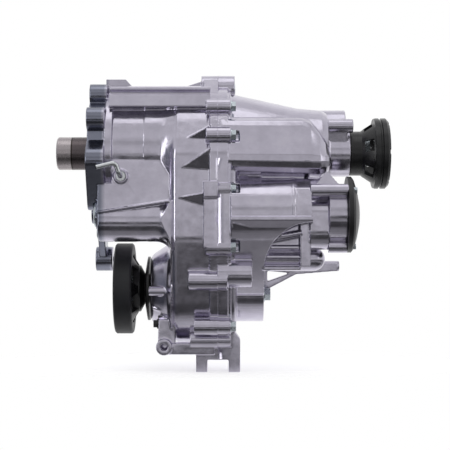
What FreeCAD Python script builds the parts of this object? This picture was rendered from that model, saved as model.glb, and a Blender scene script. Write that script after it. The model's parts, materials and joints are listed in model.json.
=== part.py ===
"""Two-speed transfer case with a chain-driven front output, in millimetres.

The main shaft line is the X axis: the gearbox bolts on at X = 0 and the rear output flange
faces +X. The front output shaft lies below it, driven by the chain. Y runs away from the
side with the selector housing, and Z runs up from the front output to the main shaft.
"""

import FreeCAD, Part
import math
import os

Vector = FreeCAD.Vector
os.makedirs("parts", exist_ok=True)

# Clearances
CLEAR = 0.3                 # parts that only pass each other
SEAT_GAP = 0.02             # radial gap of a part seated in its bore
RUN_GAP = 0.05              # radial gap of a running fit

# Chain drive, which sets the distance between the two shaft lines
CHAIN_PITCH = 9.525
SPROCKET_TEETH = 33
CHAIN_LINKS = 74
FRONT_Z = -(CHAIN_LINKS - SPROCKET_TEETH) * CHAIN_PITCH / 2
SPROCKET_R = CHAIN_PITCH / (2 * math.sin(math.pi / SPROCKET_TEETH))
SPROCKET_X = (129.0, 159.0)
CHAIN_BACK = 4.2            # how far the links stand out of the pitch line
LINK_TOOTH = 4.6            # how far their teeth reach inwards

# Gearbox flange
FLANGE_T = 25.0             # depth of the bolt lobes
FLANGE_R = 80.0
FLANGE_BACK_R = 87.0        # step behind the lobes
FLANGE_BACK_X = 35.0
GEARBOX_PCD = 172.0
GEARBOX_BOLTS = 9
GEARBOX_BOLT_START = 109.0  # angle of the first lobe, from +Y towards +Z
LOBE_R = 16.0
SIDE_LOBE_R = 18.0          # two lobes on the near side, joined by a web
LOBE_HOLE_R = 5.25
LOBE_HOLE_DEPTH = 20.0
PILOT_R = 66.0              # locating recess in the gearbox face
PILOT_DEPTH = 8.0
LOW_LOBE = (58.0, -154.0)   # extra lobe below the far side of the flange
LOW_LOBE_R = 18.0

# Case castings
SPLIT_X = 182.0             # joint face between the front and rear case
WALL = 6.0
RIB = 4.0                   # thickness of stiffening ribs
BODY_R = 79.0
BODY_STEP_X = 79.5          # the body grows by one millimetre here
CREASE = 22.0               # most that the cast fillet between body and chain housing rises
CREASE_X = (97.0, 133.0)
CREASE_STEPS = 7
CREASE_ANGLES = range(-25, 206, 10)
CHAIN_X = 116.0             # front wall of the chain housing
CHAIN_ROUND = 12.0          # rounding of its outline
CHAIN_TOP_R = 86.0
CHAIN_LOW_R = 78.0
CHAIN_SIDE = (-57.0, 41.0)  # bulge of the chain housing beside the selector: Y and radius
CHAIN_SIDE_Z = (-12.0, -118.0)
JOINT_LIP = 9.0             # how far the joint flange stands out of the chain housing
JOINT_FRONT_T = 11.0
JOINT_REAR_T = 18.0
JOINT_BOSS_R = 11.0
JOINT_BOSS_L = 16.0         # length of the bolt bosses on the front case
BOLT_R = 4.0
BOLT_DEPTH = 17.0
BOLT_HEAD_AF = 13.0
BOLT_HEAD_T = 7.0
BOLT_WASHER_R = 8.5
DOWEL_R = 5.0
DOWEL_DEPTH = 8.0
NEAR_BOLTS = [(-76.0, 61.0), (-98.0, 20.0), (-100.0, -55.0), (-100.0, -134.0), (-80.0, -243.8)]
FAR_BOLTS = [(26.0, 96.0), (78.0, 60.0), (97.0, 6.0), (92.0, -70.0), (90.0, -146.0), (76.0, -249.3)]
DOWELS = [(-52.0, -265.0), (95.0, 33.0)]
TOP_BOSS = (0.0, 94.5)      # Y and Z of the boss over the joint
TOP_BOSS_R = 18.0
TOP_BOSS_X = (158.0, 206.0)
TOP_COLUMN = (-34.0, 70.0, 18.0)  # foot of the thick piece of flange that runs down from it
SIDE_BOSSES = [(142.0, -92.0, -180.0, 13.4), (149.0, -80.0, -243.8, 12.3), (143.0, -52.0, -265.0, 12.0)]
JOINT_PAD = (163.0, -110.0, -134.0, -46.0)  # left end, near face, bottom and top
PAD_BOSS_Z = (-66.0, -43.5)
PAD_BOSS_OUT = 2.5
GUSSETS = [
    (135.5, 14.0, -3.0, 20.0, -88.0, -98.0),    # tip in X and Z, fall and rise at the flange,
    (129.0, -26.0, -3.0, 28.0, -97.5, -109.0),  # Y at the wall and Y of the outer corner
    (124.0, -66.0, -14.0, 8.0, -97.5, -109.0),
    (135.5, 14.0, -3.0, 20.0, 84.0, 95.0),
    (129.0, -60.0, -3.0, 28.0, 83.0, 93.0),
]
GUSSET_ROOT = 25.0          # how far a gusset reaches into the wall at the flange

# Ledge along the top of the front case
LEDGE_X = (30.0, 171.0)
LEDGE_Z = 93.5
LEDGE_SIDE = [(-40.0, 0.0), (-53.0, -2.5), (-55.0, -7.0), (-49.0, -8.5), (-49.0, -13.5),
              (-65.0, -14.5), (-70.0, -29.5), (-70.0, -32.0), (-54.0, -34.0)]
LEDGE_RAMP = [(-8.0, -14.0), (-8.0, 11.5), (20.0, 11.5), (31.0, -0.5), (31.0, -14.0)]
LEDGE_RAMP_Y = (-22.0, 14.0)
LEDGE_RISE = [(95.0, -8.0), (95.0, 0.0), (127.0, 10.5), (141.0, 10.5), (141.0, -8.0)]

# Selector shaft, which shifts the range and squeezes the clutch
PINION_TEETH = 12
SECTOR_TEETH = 63
SECTOR_MODULE = 3.0
SELECTOR_TURN = 75.0
SHIFT_TRAVEL = 12.0
SELECTOR_Z = -89.0
SELECTOR_A = SECTOR_MODULE * (PINION_TEETH + SECTOR_TEETH) / 2
SELECTOR_Y = -math.sqrt(SELECTOR_A ** 2 - SELECTOR_Z ** 2)
SELECTOR_R = 7.0
SELECTOR_X = (24.0, 352.0)
DRUM_R = 11.0
DRUM_X = (60.0, 88.0)
PIN_R = 3.0
PIN_X = 68.0                # fork pin at rest
PINION_X = (220.0, 234.0)
SECTOR_X = (222.0, 232.0)
SECTOR_ROOM = (19.5, 4.5)   # half angle, and how far it clears the toothed sector
SECTOR_BOX_R = 39.0

# Pod round the selector shaft on the front case
POD_X = 16.0
POD_STEP_X = 35.0
POD_END_X = 115.0
POD_TOP_Z = -14.5
POD_FACE_Y = (-79.0, -95.0)  # near face at its top and at its foot
POD_FOOT_Z = (-84.5, -69.0)  # slanted lower edge, left and right
POD_CORNER_R = 15.0
POD_STEP_Z = -46.0
BARREL_Y = -66.0
BARREL_Z = -98.0
BARREL_R = 29.0
BROW_T = 3.0                 # rib along the lower edge of the pod
BROW_OUT = 2.5
PLUG_R = 17.0
PLUG_BACK_X = 21.0
CORE_PLUG_R = 7.5
CORE_PLUG_AT = (-60.0, -114.0)
BREATHER_AT = (48.0, -36.0)  # X and Z of its foot on the pod
BREATHER_R = 3.5
BREATHER_BORE_R = 2.2
BREATHER_FOOT_R = 6.5
BREATHER_BOSS_R = 10.0
BREATHER_BOSS_Y = (-88.0, -79.0)  # face of its boss and bottom of the bore

# Planetary reduction
MODULE = 2.0
SUN_TEETH = 36
PLANET_TEETH = 12
RING_TEETH = SUN_TEETH + 2 * PLANET_TEETH
PLANETS = 4
PLANET_R = MODULE * (SUN_TEETH + PLANET_TEETH) / 2
PRESSURE_ANGLE = math.radians(25.0)
ADDENDUM = 0.9
DEDENDUM = 1.2
BACKLASH = 0.15
GEAR_X = (38.0, 58.0)
GEAR_BORE_R = 68.0
SNAP_GROOVE_R = 70.0
SNAP_RING_T = 2.5
CARRIER_R = 56.0
CARRIER_PLATE_T = 4.0
PLANET_PIN_R = 5.0
POST_R = 6.0
CUP_X = (60.0, 88.0)
CUP_R = (44.0, 50.0)
LOW_TEETH_R = 40.5
SPLINE_R = 28.0
SPLINE_TEETH = 24
DOG_X = (62.0, 72.0)
HUB_X = (76.0, 118.0)
SLEEVE_X = (67.0, 105.0)
SLEEVE_R = 34.0
SLEEVE_FLANGE_R = 40.0
GROOVE_X = (94.0, 102.0)

# Input shaft
INPUT_END_X = -50.0
INPUT_R = 23.7
INPUT_PILOT_R = 17.5
INPUT_PILOT_DEPTH = 8.0
INPUT_SPLINE_R = (15.0, 17.0)
NOSE_R = 12.0               # nose of the main shaft in the end of the input shaft
SEAL_BORE_R = 34.0
INPUT_BEARING_R = 42.0
INPUT_BEARING_X = (16.0, 30.0)

# Main shaft line in the rear case
MAIN_R = 18.0
MAIN_END_X = 404.0
CLUTCH_R = 60.0
CLUTCH_X = (166.0, 208.0)
CLUTCH_BACK_T = 5.0
PLATE_T = 2.4
PLATE_STEP = 2.7
PLATES = 5                  # of each kind
PLATE_R = (37.5, CLUTCH_R - 5.5)
PRESSURE_X = (212.0, 218.0)
PRESSURE_TRAVEL = 1.8
RAMP_BORE_R = 30.0
RAMP_R = 58.0
RAMP_BALL_R = 3.4
RAMP_BALL_AT = 44.0         # radius of the balls' circle
RAMP_BALLS = 3
SLEEVE_BASE_X = 292.0       # rear wall that the reaction sleeve stands on
CONE_X = (200.0, 296.0, 330.0, 338.0)
CONE_R = (86.0, 65.0, 62.0, 58.0)
REAR_BEARING_R = 36.0
REAR_BEARING_X = (292.0, 310.0)
REAR_SEAL_X = (358.0, 368.0)
REAR_SEAL_R = 30.0
NECK_R = 33.5
NECK_END_X = 371.0
OUTPUT_SLEEVE_R = 22.0
REAR_HUB_R = 32.0
REAR_HUB_X = (372.0, 392.0)
REAR_BASKET_X = REAR_HUB_X[1] + 14.0
REAR_FLANGE_X = REAR_BASKET_X + 21.0
REAR_FLANGE_R = 51.0
REAR_BOLT_PCD = 89.0        # tapped holes for the rear shaft's joint
FLANGE_BOLTS = 6
FLANGE_BOLT_R = 4.25
NUT_AF = 36.0
NUT_T = 11.0

# Outside of the rear case
DOME = [(20.0, 48.0), (-52.0, 47.0), (-65.0, 45.5), (-73.0, 41.0), (-77.0, 34.0), (-87.0, 4.0), (-90.0, -6.0),
        (-90.5, -16.0), (-87.0, -25.0), (-80.0, -32.0), (-70.0, -36.0), (20.0, -37.0)]
DOME_MIDDLE_Z = -10.0
DOME_STATIONS = [           # X, then the shares of the height above and below the middle, and of the depth
    (188.0, 1.0, 0.84, 1.18),
    (300.0, 1.0, 1.0, 1.0),
    (311.0, 0.93, 1.03, 0.995),
    (324.0, 0.66, 1.06, 0.975),
    (332.0, 0.46, 0.93, 0.93),
    (337.0, 0.28, 0.70, 0.87),
    (340.0, 0.12, 0.40, 0.79),
]
RIDGE = (22.0, 38.0, 26.5)  # Y, Z and radius of the long boss on top
RIDGE_X = (280.0, 367.0)
NECK_BOSS = (-28.0, 37.8, 10.0)
NECK_BOSS_X = (330.0, 374.6)
HOUSING_R = 50.0
HOUSING_X = (200.0, 290.0)
CHAMBER_R = 37.0
CHAMBER_END_X = 245.0
PORT_FIN_X = 332.0          # fin between the port's top boss and the neck
PORT_FIN = (12.0, 30.0, -27.0, 10.0)
HOUSING_NECK = (238.0, 302.0, -72.0, -20.0, -60.0, -25.0)  # joins the housing to the dome, as a box
COLLAR_R = 51.0
COLLAR_SIDES = 12
COLLAR_X = 310.0
STEM_R = 27.0
STEM_DROP = 22.0
PORT_R = 39.5
PORT_X = (335.0, 361.0)
PORT_BORE_R = 30.0
PORT_DEPTH = 20.0
PORT_BOSS_R = 8.8
PORT_BOSS_AT = 46.0         # radius of the circle of the bosses, and the angle of the first
PORT_BOSS_START = 134.0
CAP_R = 53.0
CAP_END_X = 378.0
CAP_SEAT_X = 368.0          # faces under the heads of the cap screws
CAP_SCREW_R = 2.5
CAP_SCREW_HEAD_R = 4.5
CAP_SCREW_DEPTH = 12.0
TAIL_R = 47.6
TAIL_X = 247.0
SIDE_TOWER_AT = (-83.0, -171.0)
SIDE_TOWER_R = 19.0
SIDE_TOWER_L = 29.0
ARCH = (309.0, -165.0, 62.0)  # X, Z and radius of the arch under the selector housing
NEAR_ARCH = (312.0, -165.0, 65.5, -66.0)  # the same for the near part, and the Y where it ends
WEB_SLAB = [(-40.0, -92.0), (-122.0, -92.0), (-122.0, -97.0), (-95.0, -138.0), (-66.0, -180.0), (-52.0, -200.0),
            (-40.0, -206.0)]
WEB_SET_BACK = 12.0         # the web's core behind its near slab
WEB_POCKET = [(203.0, -126.0, -97.0), (253.0, -118.0, -110.0), (203.0, -112.0, -121.0), (203.0, -92.0, -111.0)]
ARCH_RIB = [(257.0, -127.0), (262.0, -118.5), (304.0, -111.0), (300.0, -118.5)]
ARCH_RIB_Y = (-84.0, -60.0)
BULKHEAD_X = (296.0, 310.0)
DIAGONAL_WINDOW = [(254.0, -171.0), (254.0, -186.0), (288.0, -174.0)]
TAIL_SHELVES = [(-121.0, 9.0, -96.0), (-133.0, 0.0, -70.0), (-146.0, 0.0, -78.0), (-162.0, 0.0, -78.0)]
STAY_R = 17.0
STAY_Y = -50.0
STAY_Z = -151.4
BULKHEAD_YZ = (-90.0, 20.0, -161.0, -100.0)
LONG_BOSS_R = 7.6
LONG_BOSS_AT = (30.0, -164.0)
LONG_BOSS_END_X = 360.0
DIAGONAL_Y = (20.0, 40.0)

# Front output
DAMPER_R = 65.2
DAMPER_BORE_R = 50.0
DAMPER_X = (34.6, 60.0)
FRONT_BOLT_PCD = 115.0      # tapped holes for the front shaft's joint
FRONT_SHAFT_R = 18.0
FRONT_HUB_R = 21.0
FRONT_NOSE_X = 86.0
FRONT_NOSE_R = (49.0, 64.0)
NOSE_BELL = [(0.0, -4.0), (1.5, -1.0), (4.0, 1.5), (12.0, 7.0), (20.0, 12.5), (25.0, 17.0), (28.5, 22.0), (30.5, 29.0),
             (32.0, 29.0)]
FRONT_SEAL_R = 31.0
FRONT_BEARING_R = 38.0
FRONT_BEARING_X = (98.0, 114.0)
TAIL_BEARING_R = 34.0
TAIL_BEARING_X = (222.0, 240.0)
SHIELD_R = 46.0
DRAIN_AT = (-45.0, -243.0)
DRAIN_X = 98.0
DRAIN_R = 5.0
FILL_AT = (-14.0, -203.0)
FILL_R = 8.0

# Feet under the chain housing
CROSS_BOSS = (106.5, -275.0)
CROSS_BOSS_Y = (-62.0, -30.0)
CROSS_BOSS_R = 11.5
CROSS_HOLE_R = 5.0
CROSS_HOLE_DEPTH = 28.0
CLEVIS_AT = (-30.0, -301.5)
CLEVIS_HOLE_R = 5.2
CLEVIS_EAR = (17.0, 10.0)   # half width and depth below the hole
CLEVIS_WEB = (7.5, 37.5)    # height of the web above the hole, bottom and top
CLEVIS_FRONT_X = (151.0, 167.0)
CLEVIS_REAR_X = (197.0, 213.6)

CHAIN_SHAPE = [
    (0.0, 0.0, CHAIN_TOP_R),
    (CHAIN_SIDE[0], CHAIN_SIDE_Z[0], CHAIN_SIDE[1]),
    (CHAIN_SIDE[0], CHAIN_SIDE_Z[1], CHAIN_SIDE[1]),
    (0.0, FRONT_Z, CHAIN_LOW_R),
]
CASE_BOLTS = NEAR_BOLTS + FAR_BOLTS
SELECTOR = (SELECTOR_Y, SELECTOR_Z)
FRONT = (0.0, FRONT_Z)

nodes = {}


# Building blocks

def disc_x(radius, x0, x1, y=0.0, z=0.0):
    return Part.makeCylinder(radius, x1 - x0, Vector(x0, y, z), Vector(1, 0, 0))


def cone_x(r0, r1, x0, x1, y=0.0, z=0.0):
    return Part.makeCone(r0, r1, x1 - x0, Vector(x0, y, z), Vector(1, 0, 0))


def tube_x(outer, inner, x0, x1, y=0.0, z=0.0):
    return disc_x(outer, x0, x1, y, z).cut(disc_x(inner, x0 - 1, x1 + 1, y, z))


def peg_y(radius, y0, y1, x, z):
    return Part.makeCylinder(radius, y1 - y0, Vector(x, y0, z), Vector(0, 1, 0))


def block(x0, x1, y0, y1, z0, z1):
    return Part.makeBox(x1 - x0, y1 - y0, z1 - z0, Vector(x0, y0, z0))


def prism_x(points, x0, x1):
    """Outline in Y and Z, drawn out along X."""
    corners = [Vector(x0, y, z) for y, z in points]
    return Part.Face(Part.makePolygon(corners + corners[:1])).extrude(Vector(x1 - x0, 0, 0))


def prism_y(points, y0, y1):
    """Outline in X and Z, drawn out along Y."""
    corners = [Vector(x, y0, z) for x, z in points]
    return Part.Face(Part.makePolygon(corners + corners[:1])).extrude(Vector(0, y1 - y0, 0))


def revolve_x(points, y=0.0, z=0.0):
    """Outline in X and radius, turned round a line along X."""
    corners = [Vector(x, y, z + r) for x, r in points]
    face = Part.Face(Part.makePolygon(corners + corners[:1]))
    return face.revolve(Vector(0, y, z), Vector(1, 0, 0), 360)


def joined(shapes):
    return shapes[0].multiFuse(shapes[1:])


def hull_x(circles, x0, x1):
    """Belt round circles (y, z, radius), listed anticlockwise as seen from +X, drawn out along X."""
    sides = []
    for (y1, z1, r1), (y2, z2, r2) in zip(circles, circles[1:] + circles[:1]):
        length = math.hypot(y2 - y1, z2 - z1)
        along = ((y2 - y1) / length, (z2 - z1) / length)
        sine = (r1 - r2) / length
        cosine = math.sqrt(1 - sine * sine)
        normal = (along[1] * cosine + along[0] * sine, -along[0] * cosine + along[1] * sine)
        start = Vector(x0, y1 + normal[0] * r1, z1 + normal[1] * r1)
        end = Vector(x0, y2 + normal[0] * r2, z2 + normal[1] * r2)
        sides.append((start, end, math.atan2(normal[1], normal[0])))
    edges = []
    for i, (y, z, r) in enumerate(circles):
        arrive, leave = sides[i - 1], sides[i]
        middle = arrive[2] + ((leave[2] - arrive[2]) % (2 * math.pi)) / 2
        top = Vector(x0, y + r * math.cos(middle), z + r * math.sin(middle))
        edges.append(Part.Arc(arrive[1], top, leave[0]).toShape())
        edges.append(Part.makeLine(leave[0], leave[1]))
    return Part.Face(Part.Wire(edges)).extrude(Vector(x1 - x0, 0, 0))


def grown(circles, by):
    return [(y, z, r + by) for y, z, r in circles]


def round_face(shape, radius, x):
    """Rounds the outline of the end face that lies at x."""
    edges = [e for e in shape.Edges if abs(e.BoundBox.XMin - x) < 1e-4 and abs(e.BoundBox.XMax - x) < 1e-4]
    return shape.makeFillet(radius, edges)


def flare(radius, blend, x_wall, y=0.0, z=0.0, side=1):
    """Cast fillet between a cylinder along X and its wall, on the cylinder's right or left end."""
    x_edge = x_wall - side * blend
    ring = disc_x(radius + blend, min(x_wall, x_edge), max(x_wall, x_edge), y, z)
    return ring.cut(Part.makeTorus(radius + blend, blend, Vector(x_edge, y, z), Vector(1, 0, 0)))


def tetra(a, b, c, d):
    """Cast gusset with four triangular faces."""
    corners = [Vector(*p) for p in (a, b, c, d)]
    faces = []
    for i, j, k in ((0, 1, 2), (0, 3, 1), (1, 3, 2), (2, 3, 0)):
        faces.append(Part.Face(Part.makePolygon([corners[i], corners[j], corners[k], corners[i]])))
    solid = Part.Solid(Part.Shell(faces))
    if solid.Volume < 0:
        solid.reverse()
    return solid


def turned(shape, degrees, y=0.0, z=0.0):
    """A copy turned round a line along X."""
    copy = shape.copy()
    copy.rotate(Vector(0, y, z), Vector(1, 0, 0), degrees)
    return copy


def moved(points, y, z):
    return [(a + y, b + z) for a, b in points]


def ring_of(count, radius, start=0.0, y=0.0, z=0.0):
    """Centres evenly spaced on a circle, the start angle in degrees from +Y towards +Z."""
    angles = [math.radians(start + 360.0 * i / count) for i in range(count)]
    return [(y + radius * math.cos(a), z + radius * math.sin(a)) for a in angles]


def hexagon(across_flats, y=0.0, z=0.0):
    return ring_of(6, across_flats / math.sqrt(3), 0.0, y, z)


def gear_outline(teeth, module, tip, root, thinning, phase):
    """Involute gear outline; thinning is taken from the tooth at the pitch line."""
    pitch_r = module * teeth / 2
    base_r = pitch_r * math.cos(PRESSURE_ANGLE)
    at_pitch = math.pi / (2 * teeth) - thinning / (2 * pitch_r) + math.tan(PRESSURE_ANGLE) - PRESSURE_ANGLE

    def half_angle(r):
        pressure = math.acos(min(1.0, base_r / r))
        return at_pitch - math.tan(pressure) + pressure

    low = max(root, base_r)
    radii = [low, (low + tip) / 2, tip]
    if root < base_r:
        radii.insert(0, root)
    points = []
    for i in range(teeth):
        middle = phase + 2 * math.pi * i / teeth
        for r in radii:
            points.append((r, middle - half_angle(r)))
        for r in reversed(radii):
            points.append((r, middle + half_angle(r)))
    return [(r * math.cos(a), r * math.sin(a)) for r, a in points]


def straight_teeth(teeth, tip_r, root_r, tip_share, root_share, phase=0.0):
    """Straight-sided teeth; the shares say how much of the pitch a tooth fills at tip and root."""
    half_pitch = math.pi / teeth
    points = []
    for i in range(teeth):
        middle = phase + 2 * half_pitch * i
        for r, share in ((root_r, -root_share), (tip_r, -tip_share), (tip_r, tip_share), (root_r, root_share)):
            angle = middle + share * half_pitch
            points.append((r * math.cos(angle), r * math.sin(angle)))
    return points


def spline_outline(tip_r, root_r):
    """External spline teeth; grown by the clearance they also cut the mating internal spline."""
    return straight_teeth(SPLINE_TEETH, tip_r, root_r, 0.42, 0.5)


def bearing(name, inner_r, outer_r, x0, x1, y=0.0, z=0.0):
    """Shielded ball bearing as an outer race with its shields and an inner race."""
    land = (outer_r - inner_r) * 0.28
    outer = tube_x(outer_r - SEAT_GAP, outer_r - land, x0, x1, y, z)
    shields = [tube_x(outer_r - land + 0.5, inner_r + land + CLEAR, x, x + 1.0, y, z) for x in (x0 + 1, x1 - 2)]
    nodes[name + "_outer"] = joined([outer] + shields)
    nodes[name + "_inner"] = tube_x(inner_r + land, inner_r + SEAT_GAP, x0, x1, y, z)


def lip_seal(outer_r, shaft_r, x0, x1, y=0.0, z=0.0):
    lip = shaft_r + CLEAR
    return revolve_x([(x0, outer_r - SEAT_GAP), (x0, lip + 3), (x0 + 2, lip), (x0 + 4, lip + 3),
                      (x0 + 3, outer_r - 3), (x1, outer_r - 3), (x1, outer_r - SEAT_GAP)], y, z)


CAP_SCREWS = ring_of(3, PORT_BOSS_AT, PORT_BOSS_START, *SELECTOR)


# Front half of the case

def top_ledge():
    left, right = LEDGE_X
    side = [(y, LEDGE_Z + z) for y, z in LEDGE_SIDE]
    outline = side + [(-y, z) for y, z in reversed(side)]
    ramp = prism_y([(left + x, LEDGE_Z + z) for x, z in LEDGE_RAMP], *LEDGE_RAMP_Y)
    rise = prism_y([(left + x, LEDGE_Z + z) for x, z in LEDGE_RISE], -5, 5)
    return [prism_x(outline, left, right), ramp, rise]


def pod_face():
    """Near face of the pod: leans out towards its slanted foot, with a round upper corner."""
    top_y, foot_y = POD_FACE_Y
    low_z = min(POD_FOOT_Z) - 5
    face = prism_x([(-45, POD_TOP_Z + 8), (top_y, POD_TOP_Z), (foot_y, min(POD_FOOT_Z)), (foot_y, low_z),
                    (-45, low_z)], POD_X, POD_END_X)
    step = block(POD_X - 1, POD_STEP_X, foot_y - 5, -40, POD_STEP_Z, POD_TOP_Z + 20)
    corner_x, corner_z = POD_END_X - POD_CORNER_R, POD_TOP_Z - POD_CORNER_R
    notch = block(corner_x, POD_END_X + 1, foot_y - 5, top_y + 4, corner_z, POD_TOP_Z + 20)
    notch = notch.cut(peg_y(POD_CORNER_R, foot_y - 6, top_y + 5, corner_x, corner_z))
    foot = prism_y([(POD_X - 1, POD_FOOT_Z[0]), (POD_X - 1, low_z - 5), (POD_END_X + 1, low_z - 5),
                    (POD_END_X + 1, POD_FOOT_Z[1])], foot_y - 5, -50)
    return face.cut([step, notch, foot])


def selector_pod():
    foot_y = POD_FACE_Y[1]
    web = hull_x([(0.0, 0.0, 60.0), (BARREL_Y, BARREL_Z, BARREL_R)], GEAR_X[0], CHAIN_X + 1)
    barrel = round_face(disc_x(BARREL_R, POD_X, CHAIN_X + 1, BARREL_Y, BARREL_Z), 3.0, POD_X)
    trumpet = flare(BARREL_R, 22.0, CHAIN_X + 2, BARREL_Y, BARREL_Z)
    trumpet = trumpet.common(block(80, CHAIN_X + 2, foot_y - 2, 30, -160, POD_FOOT_Z[1] - 1))
    left_z, right_z = POD_FOOT_Z
    brow = prism_y([(POD_X, left_z - BROW_T), (POD_END_X, right_z - BROW_T), (POD_END_X, right_z), (POD_X, left_z)],
                   foot_y - BROW_OUT, -50)
    plug_seat = disc_x(PLUG_R + 4, POD_X - 3, POD_X + 20, *SELECTOR)
    core_seat = disc_x(CORE_PLUG_R + 3, POD_X - 2, POD_X + 20, *CORE_PLUG_AT)
    breather_boss = peg_y(BREATHER_BOSS_R, BREATHER_BOSS_Y[0], -60, *BREATHER_AT)
    return [pod_face(), web, barrel, trumpet, brow, plug_seat, core_seat, breather_boss]


def front_nose():
    """Bearing housing of the front output, with its ribs and the boss beside it."""
    small_r, large_r = FRONT_NOSE_R
    bell = [(FRONT_NOSE_X, 0.0)] + [(FRONT_NOSE_X + x, small_r + r) for x, r in NOSE_BELL] + [(CHAIN_X + 2, 0.0)]
    forms = [revolve_x(bell, *FRONT),
             disc_x(6.5, FRONT_NOSE_X - 1, CHAIN_X + 1, -58, FRONT_Z - 1),
             disc_x(DRAIN_R + 5, DRAIN_X, CHAIN_X + 8, *DRAIN_AT)]
    rib = prism_y([(FRONT_NOSE_X + 3, small_r - 8), (FRONT_NOSE_X + 3, small_r + 3), (CHAIN_X + 1, large_r + 3),
                   (CHAIN_X + 1, small_r - 8)], -RIB / 2, RIB / 2)
    rib.translate(Vector(0, 0, FRONT_Z))
    return forms + [turned(rib, angle, 0, FRONT_Z) for angle in (-20, -55, 120, 165, 210, 250)]


def front_feet():
    """Transverse mounting boss with its bar, and the front ear of the clevis."""
    x, z = CROSS_BOSS
    y0, y1 = CROSS_BOSS_Y
    boss = peg_y(CROSS_BOSS_R, y0, y1, x, z)
    bar = block(x, SPLIT_X - 5, y0 + 3, y1, z - 10.5, z + 5)
    strut = prism_y([(x - 9, z), (x - 8, z + 38), (x + 16, z + 38), (x + 16, z + 8), (x + 12, z)], y0 + 6, y1 - 4)
    y, z = CLEVIS_AT
    half, below = CLEVIS_EAR
    x0, x1 = CLEVIS_FRONT_X
    ear = block(x0, x1, y - half, y + half, z - below, z + CLEVIS_WEB[1] + 2)
    web = block(x1 - 1, SPLIT_X, y - half, y + half, z + CLEVIS_WEB[0], z + CLEVIS_WEB[1])
    return [boss, bar, strut, ear, web]


def case_gussets():
    flange_x = SPLIT_X - 10
    forms = []
    for x, z, fall, rise, wall, outer in GUSSETS:
        root = wall - math.copysign(GUSSET_ROOT, wall)
        forms.append(tetra((x, wall, z), (flange_x, wall, z + fall), (flange_x, outer, z + rise),
                           (flange_x, root, z + rise)))
    return forms


def chain_reach(angle):
    """Distance from the main line to the chain housing's outline, in a direction."""
    reaches = []
    for degrees in range(0, 360, 2):
        side = math.radians(degrees)
        facing = math.cos(side - angle)
        if facing > 0.2:
            support = max(y * math.cos(side) + z * math.sin(side) + r for y, z, r in CHAIN_SHAPE)
            reaches.append(support / facing)
    return min(reaches)


def crease():
    """Cast fillet that sweeps from the round body up to the chain housing in an S-shaped curve."""
    x0, x1 = CREASE_X
    base_r = BODY_R + 0.5
    wires = []
    for step in range(CREASE_STEPS):
        share = step / (CREASE_STEPS - 1)
        rise = share * share * (3 - 2 * share)
        points = []
        for degrees in CREASE_ANGLES:
            angle = math.radians(degrees)
            r = base_r + rise * min(CREASE, chain_reach(angle) - CLEAR - base_r)
            points.append(Vector(x0 + share * (x1 - x0), r * math.cos(angle), r * math.sin(angle)))
        wires.append(Part.makePolygon(points + points[:1]))
    return Part.makeLoft(wires, True, True)


def front_outside():
    lobes = ring_of(GEARBOX_BOLTS, GEARBOX_PCD / 2, GEARBOX_BOLT_START)
    forms = [disc_x(FLANGE_R, 0, FLANGE_T), disc_x(FLANGE_BACK_R, FLANGE_T - 1, FLANGE_BACK_X)]
    forms += [disc_x(LOBE_R, 0, FLANGE_T, *at) for at in lobes]
    forms.append(hull_x([(0.0, 0.0, 60.0), (*lobes[2], SIDE_LOBE_R), (*lobes[3], SIDE_LOBE_R)], 0, FLANGE_T))
    forms.append(disc_x(LOW_LOBE_R, 0, FLANGE_T, *LOW_LOBE))
    forms.append(hull_x([(0.0, 0.0, 60.0), (*LOW_LOBE, 12.0)], 6, 16))
    forms.append(disc_x(BODY_R, FLANGE_BACK_X - 1, BODY_STEP_X))
    forms.append(disc_x(BODY_R + 1, BODY_STEP_X, CHAIN_X + 1))
    forms.append(round_face(hull_x(CHAIN_SHAPE, CHAIN_X, SPLIT_X - 2), CHAIN_ROUND, CHAIN_X))
    forms.append(crease())
    forms.append(hull_x(grown(CHAIN_SHAPE, JOINT_LIP), SPLIT_X - JOINT_FRONT_T, SPLIT_X))
    forms += [disc_x(JOINT_BOSS_R, SPLIT_X - JOINT_BOSS_L, SPLIT_X, *at) for at in CASE_BOLTS + DOWELS]
    forms.append(disc_x(TOP_BOSS_R, TOP_BOSS_X[0], SPLIT_X, *TOP_BOSS))
    forms.append(hull_x([(*TOP_BOSS, TOP_BOSS_R - 1), TOP_COLUMN], TOP_BOSS_X[0] + 4, SPLIT_X))
    pad_x, pad_y, pad_low, pad_top = JOINT_PAD
    forms.append(block(pad_x, SPLIT_X, pad_y, -80, pad_low, pad_top))
    forms.append(block(pad_x, SPLIT_X, pad_y - PAD_BOSS_OUT, -80, *PAD_BOSS_Z))
    forms += [disc_x(r, x, SPLIT_X, y, z) for x, y, z, r in SIDE_BOSSES]
    return joined(forms + case_gussets() + top_ledge() + selector_pod() + front_nose() + front_feet())


def chain_room(x0, x1):
    return hull_x(grown(CHAIN_SHAPE, -WALL), x0, x1)


def joint_holes(radius, x0, x1):
    return [disc_x(radius, x0, x1, *at) for at in CASE_BOLTS]


def dowel_holes(x0, x1):
    return [disc_x(DOWEL_R + SEAT_GAP, x0, x1, *at) for at in DOWELS]


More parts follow.
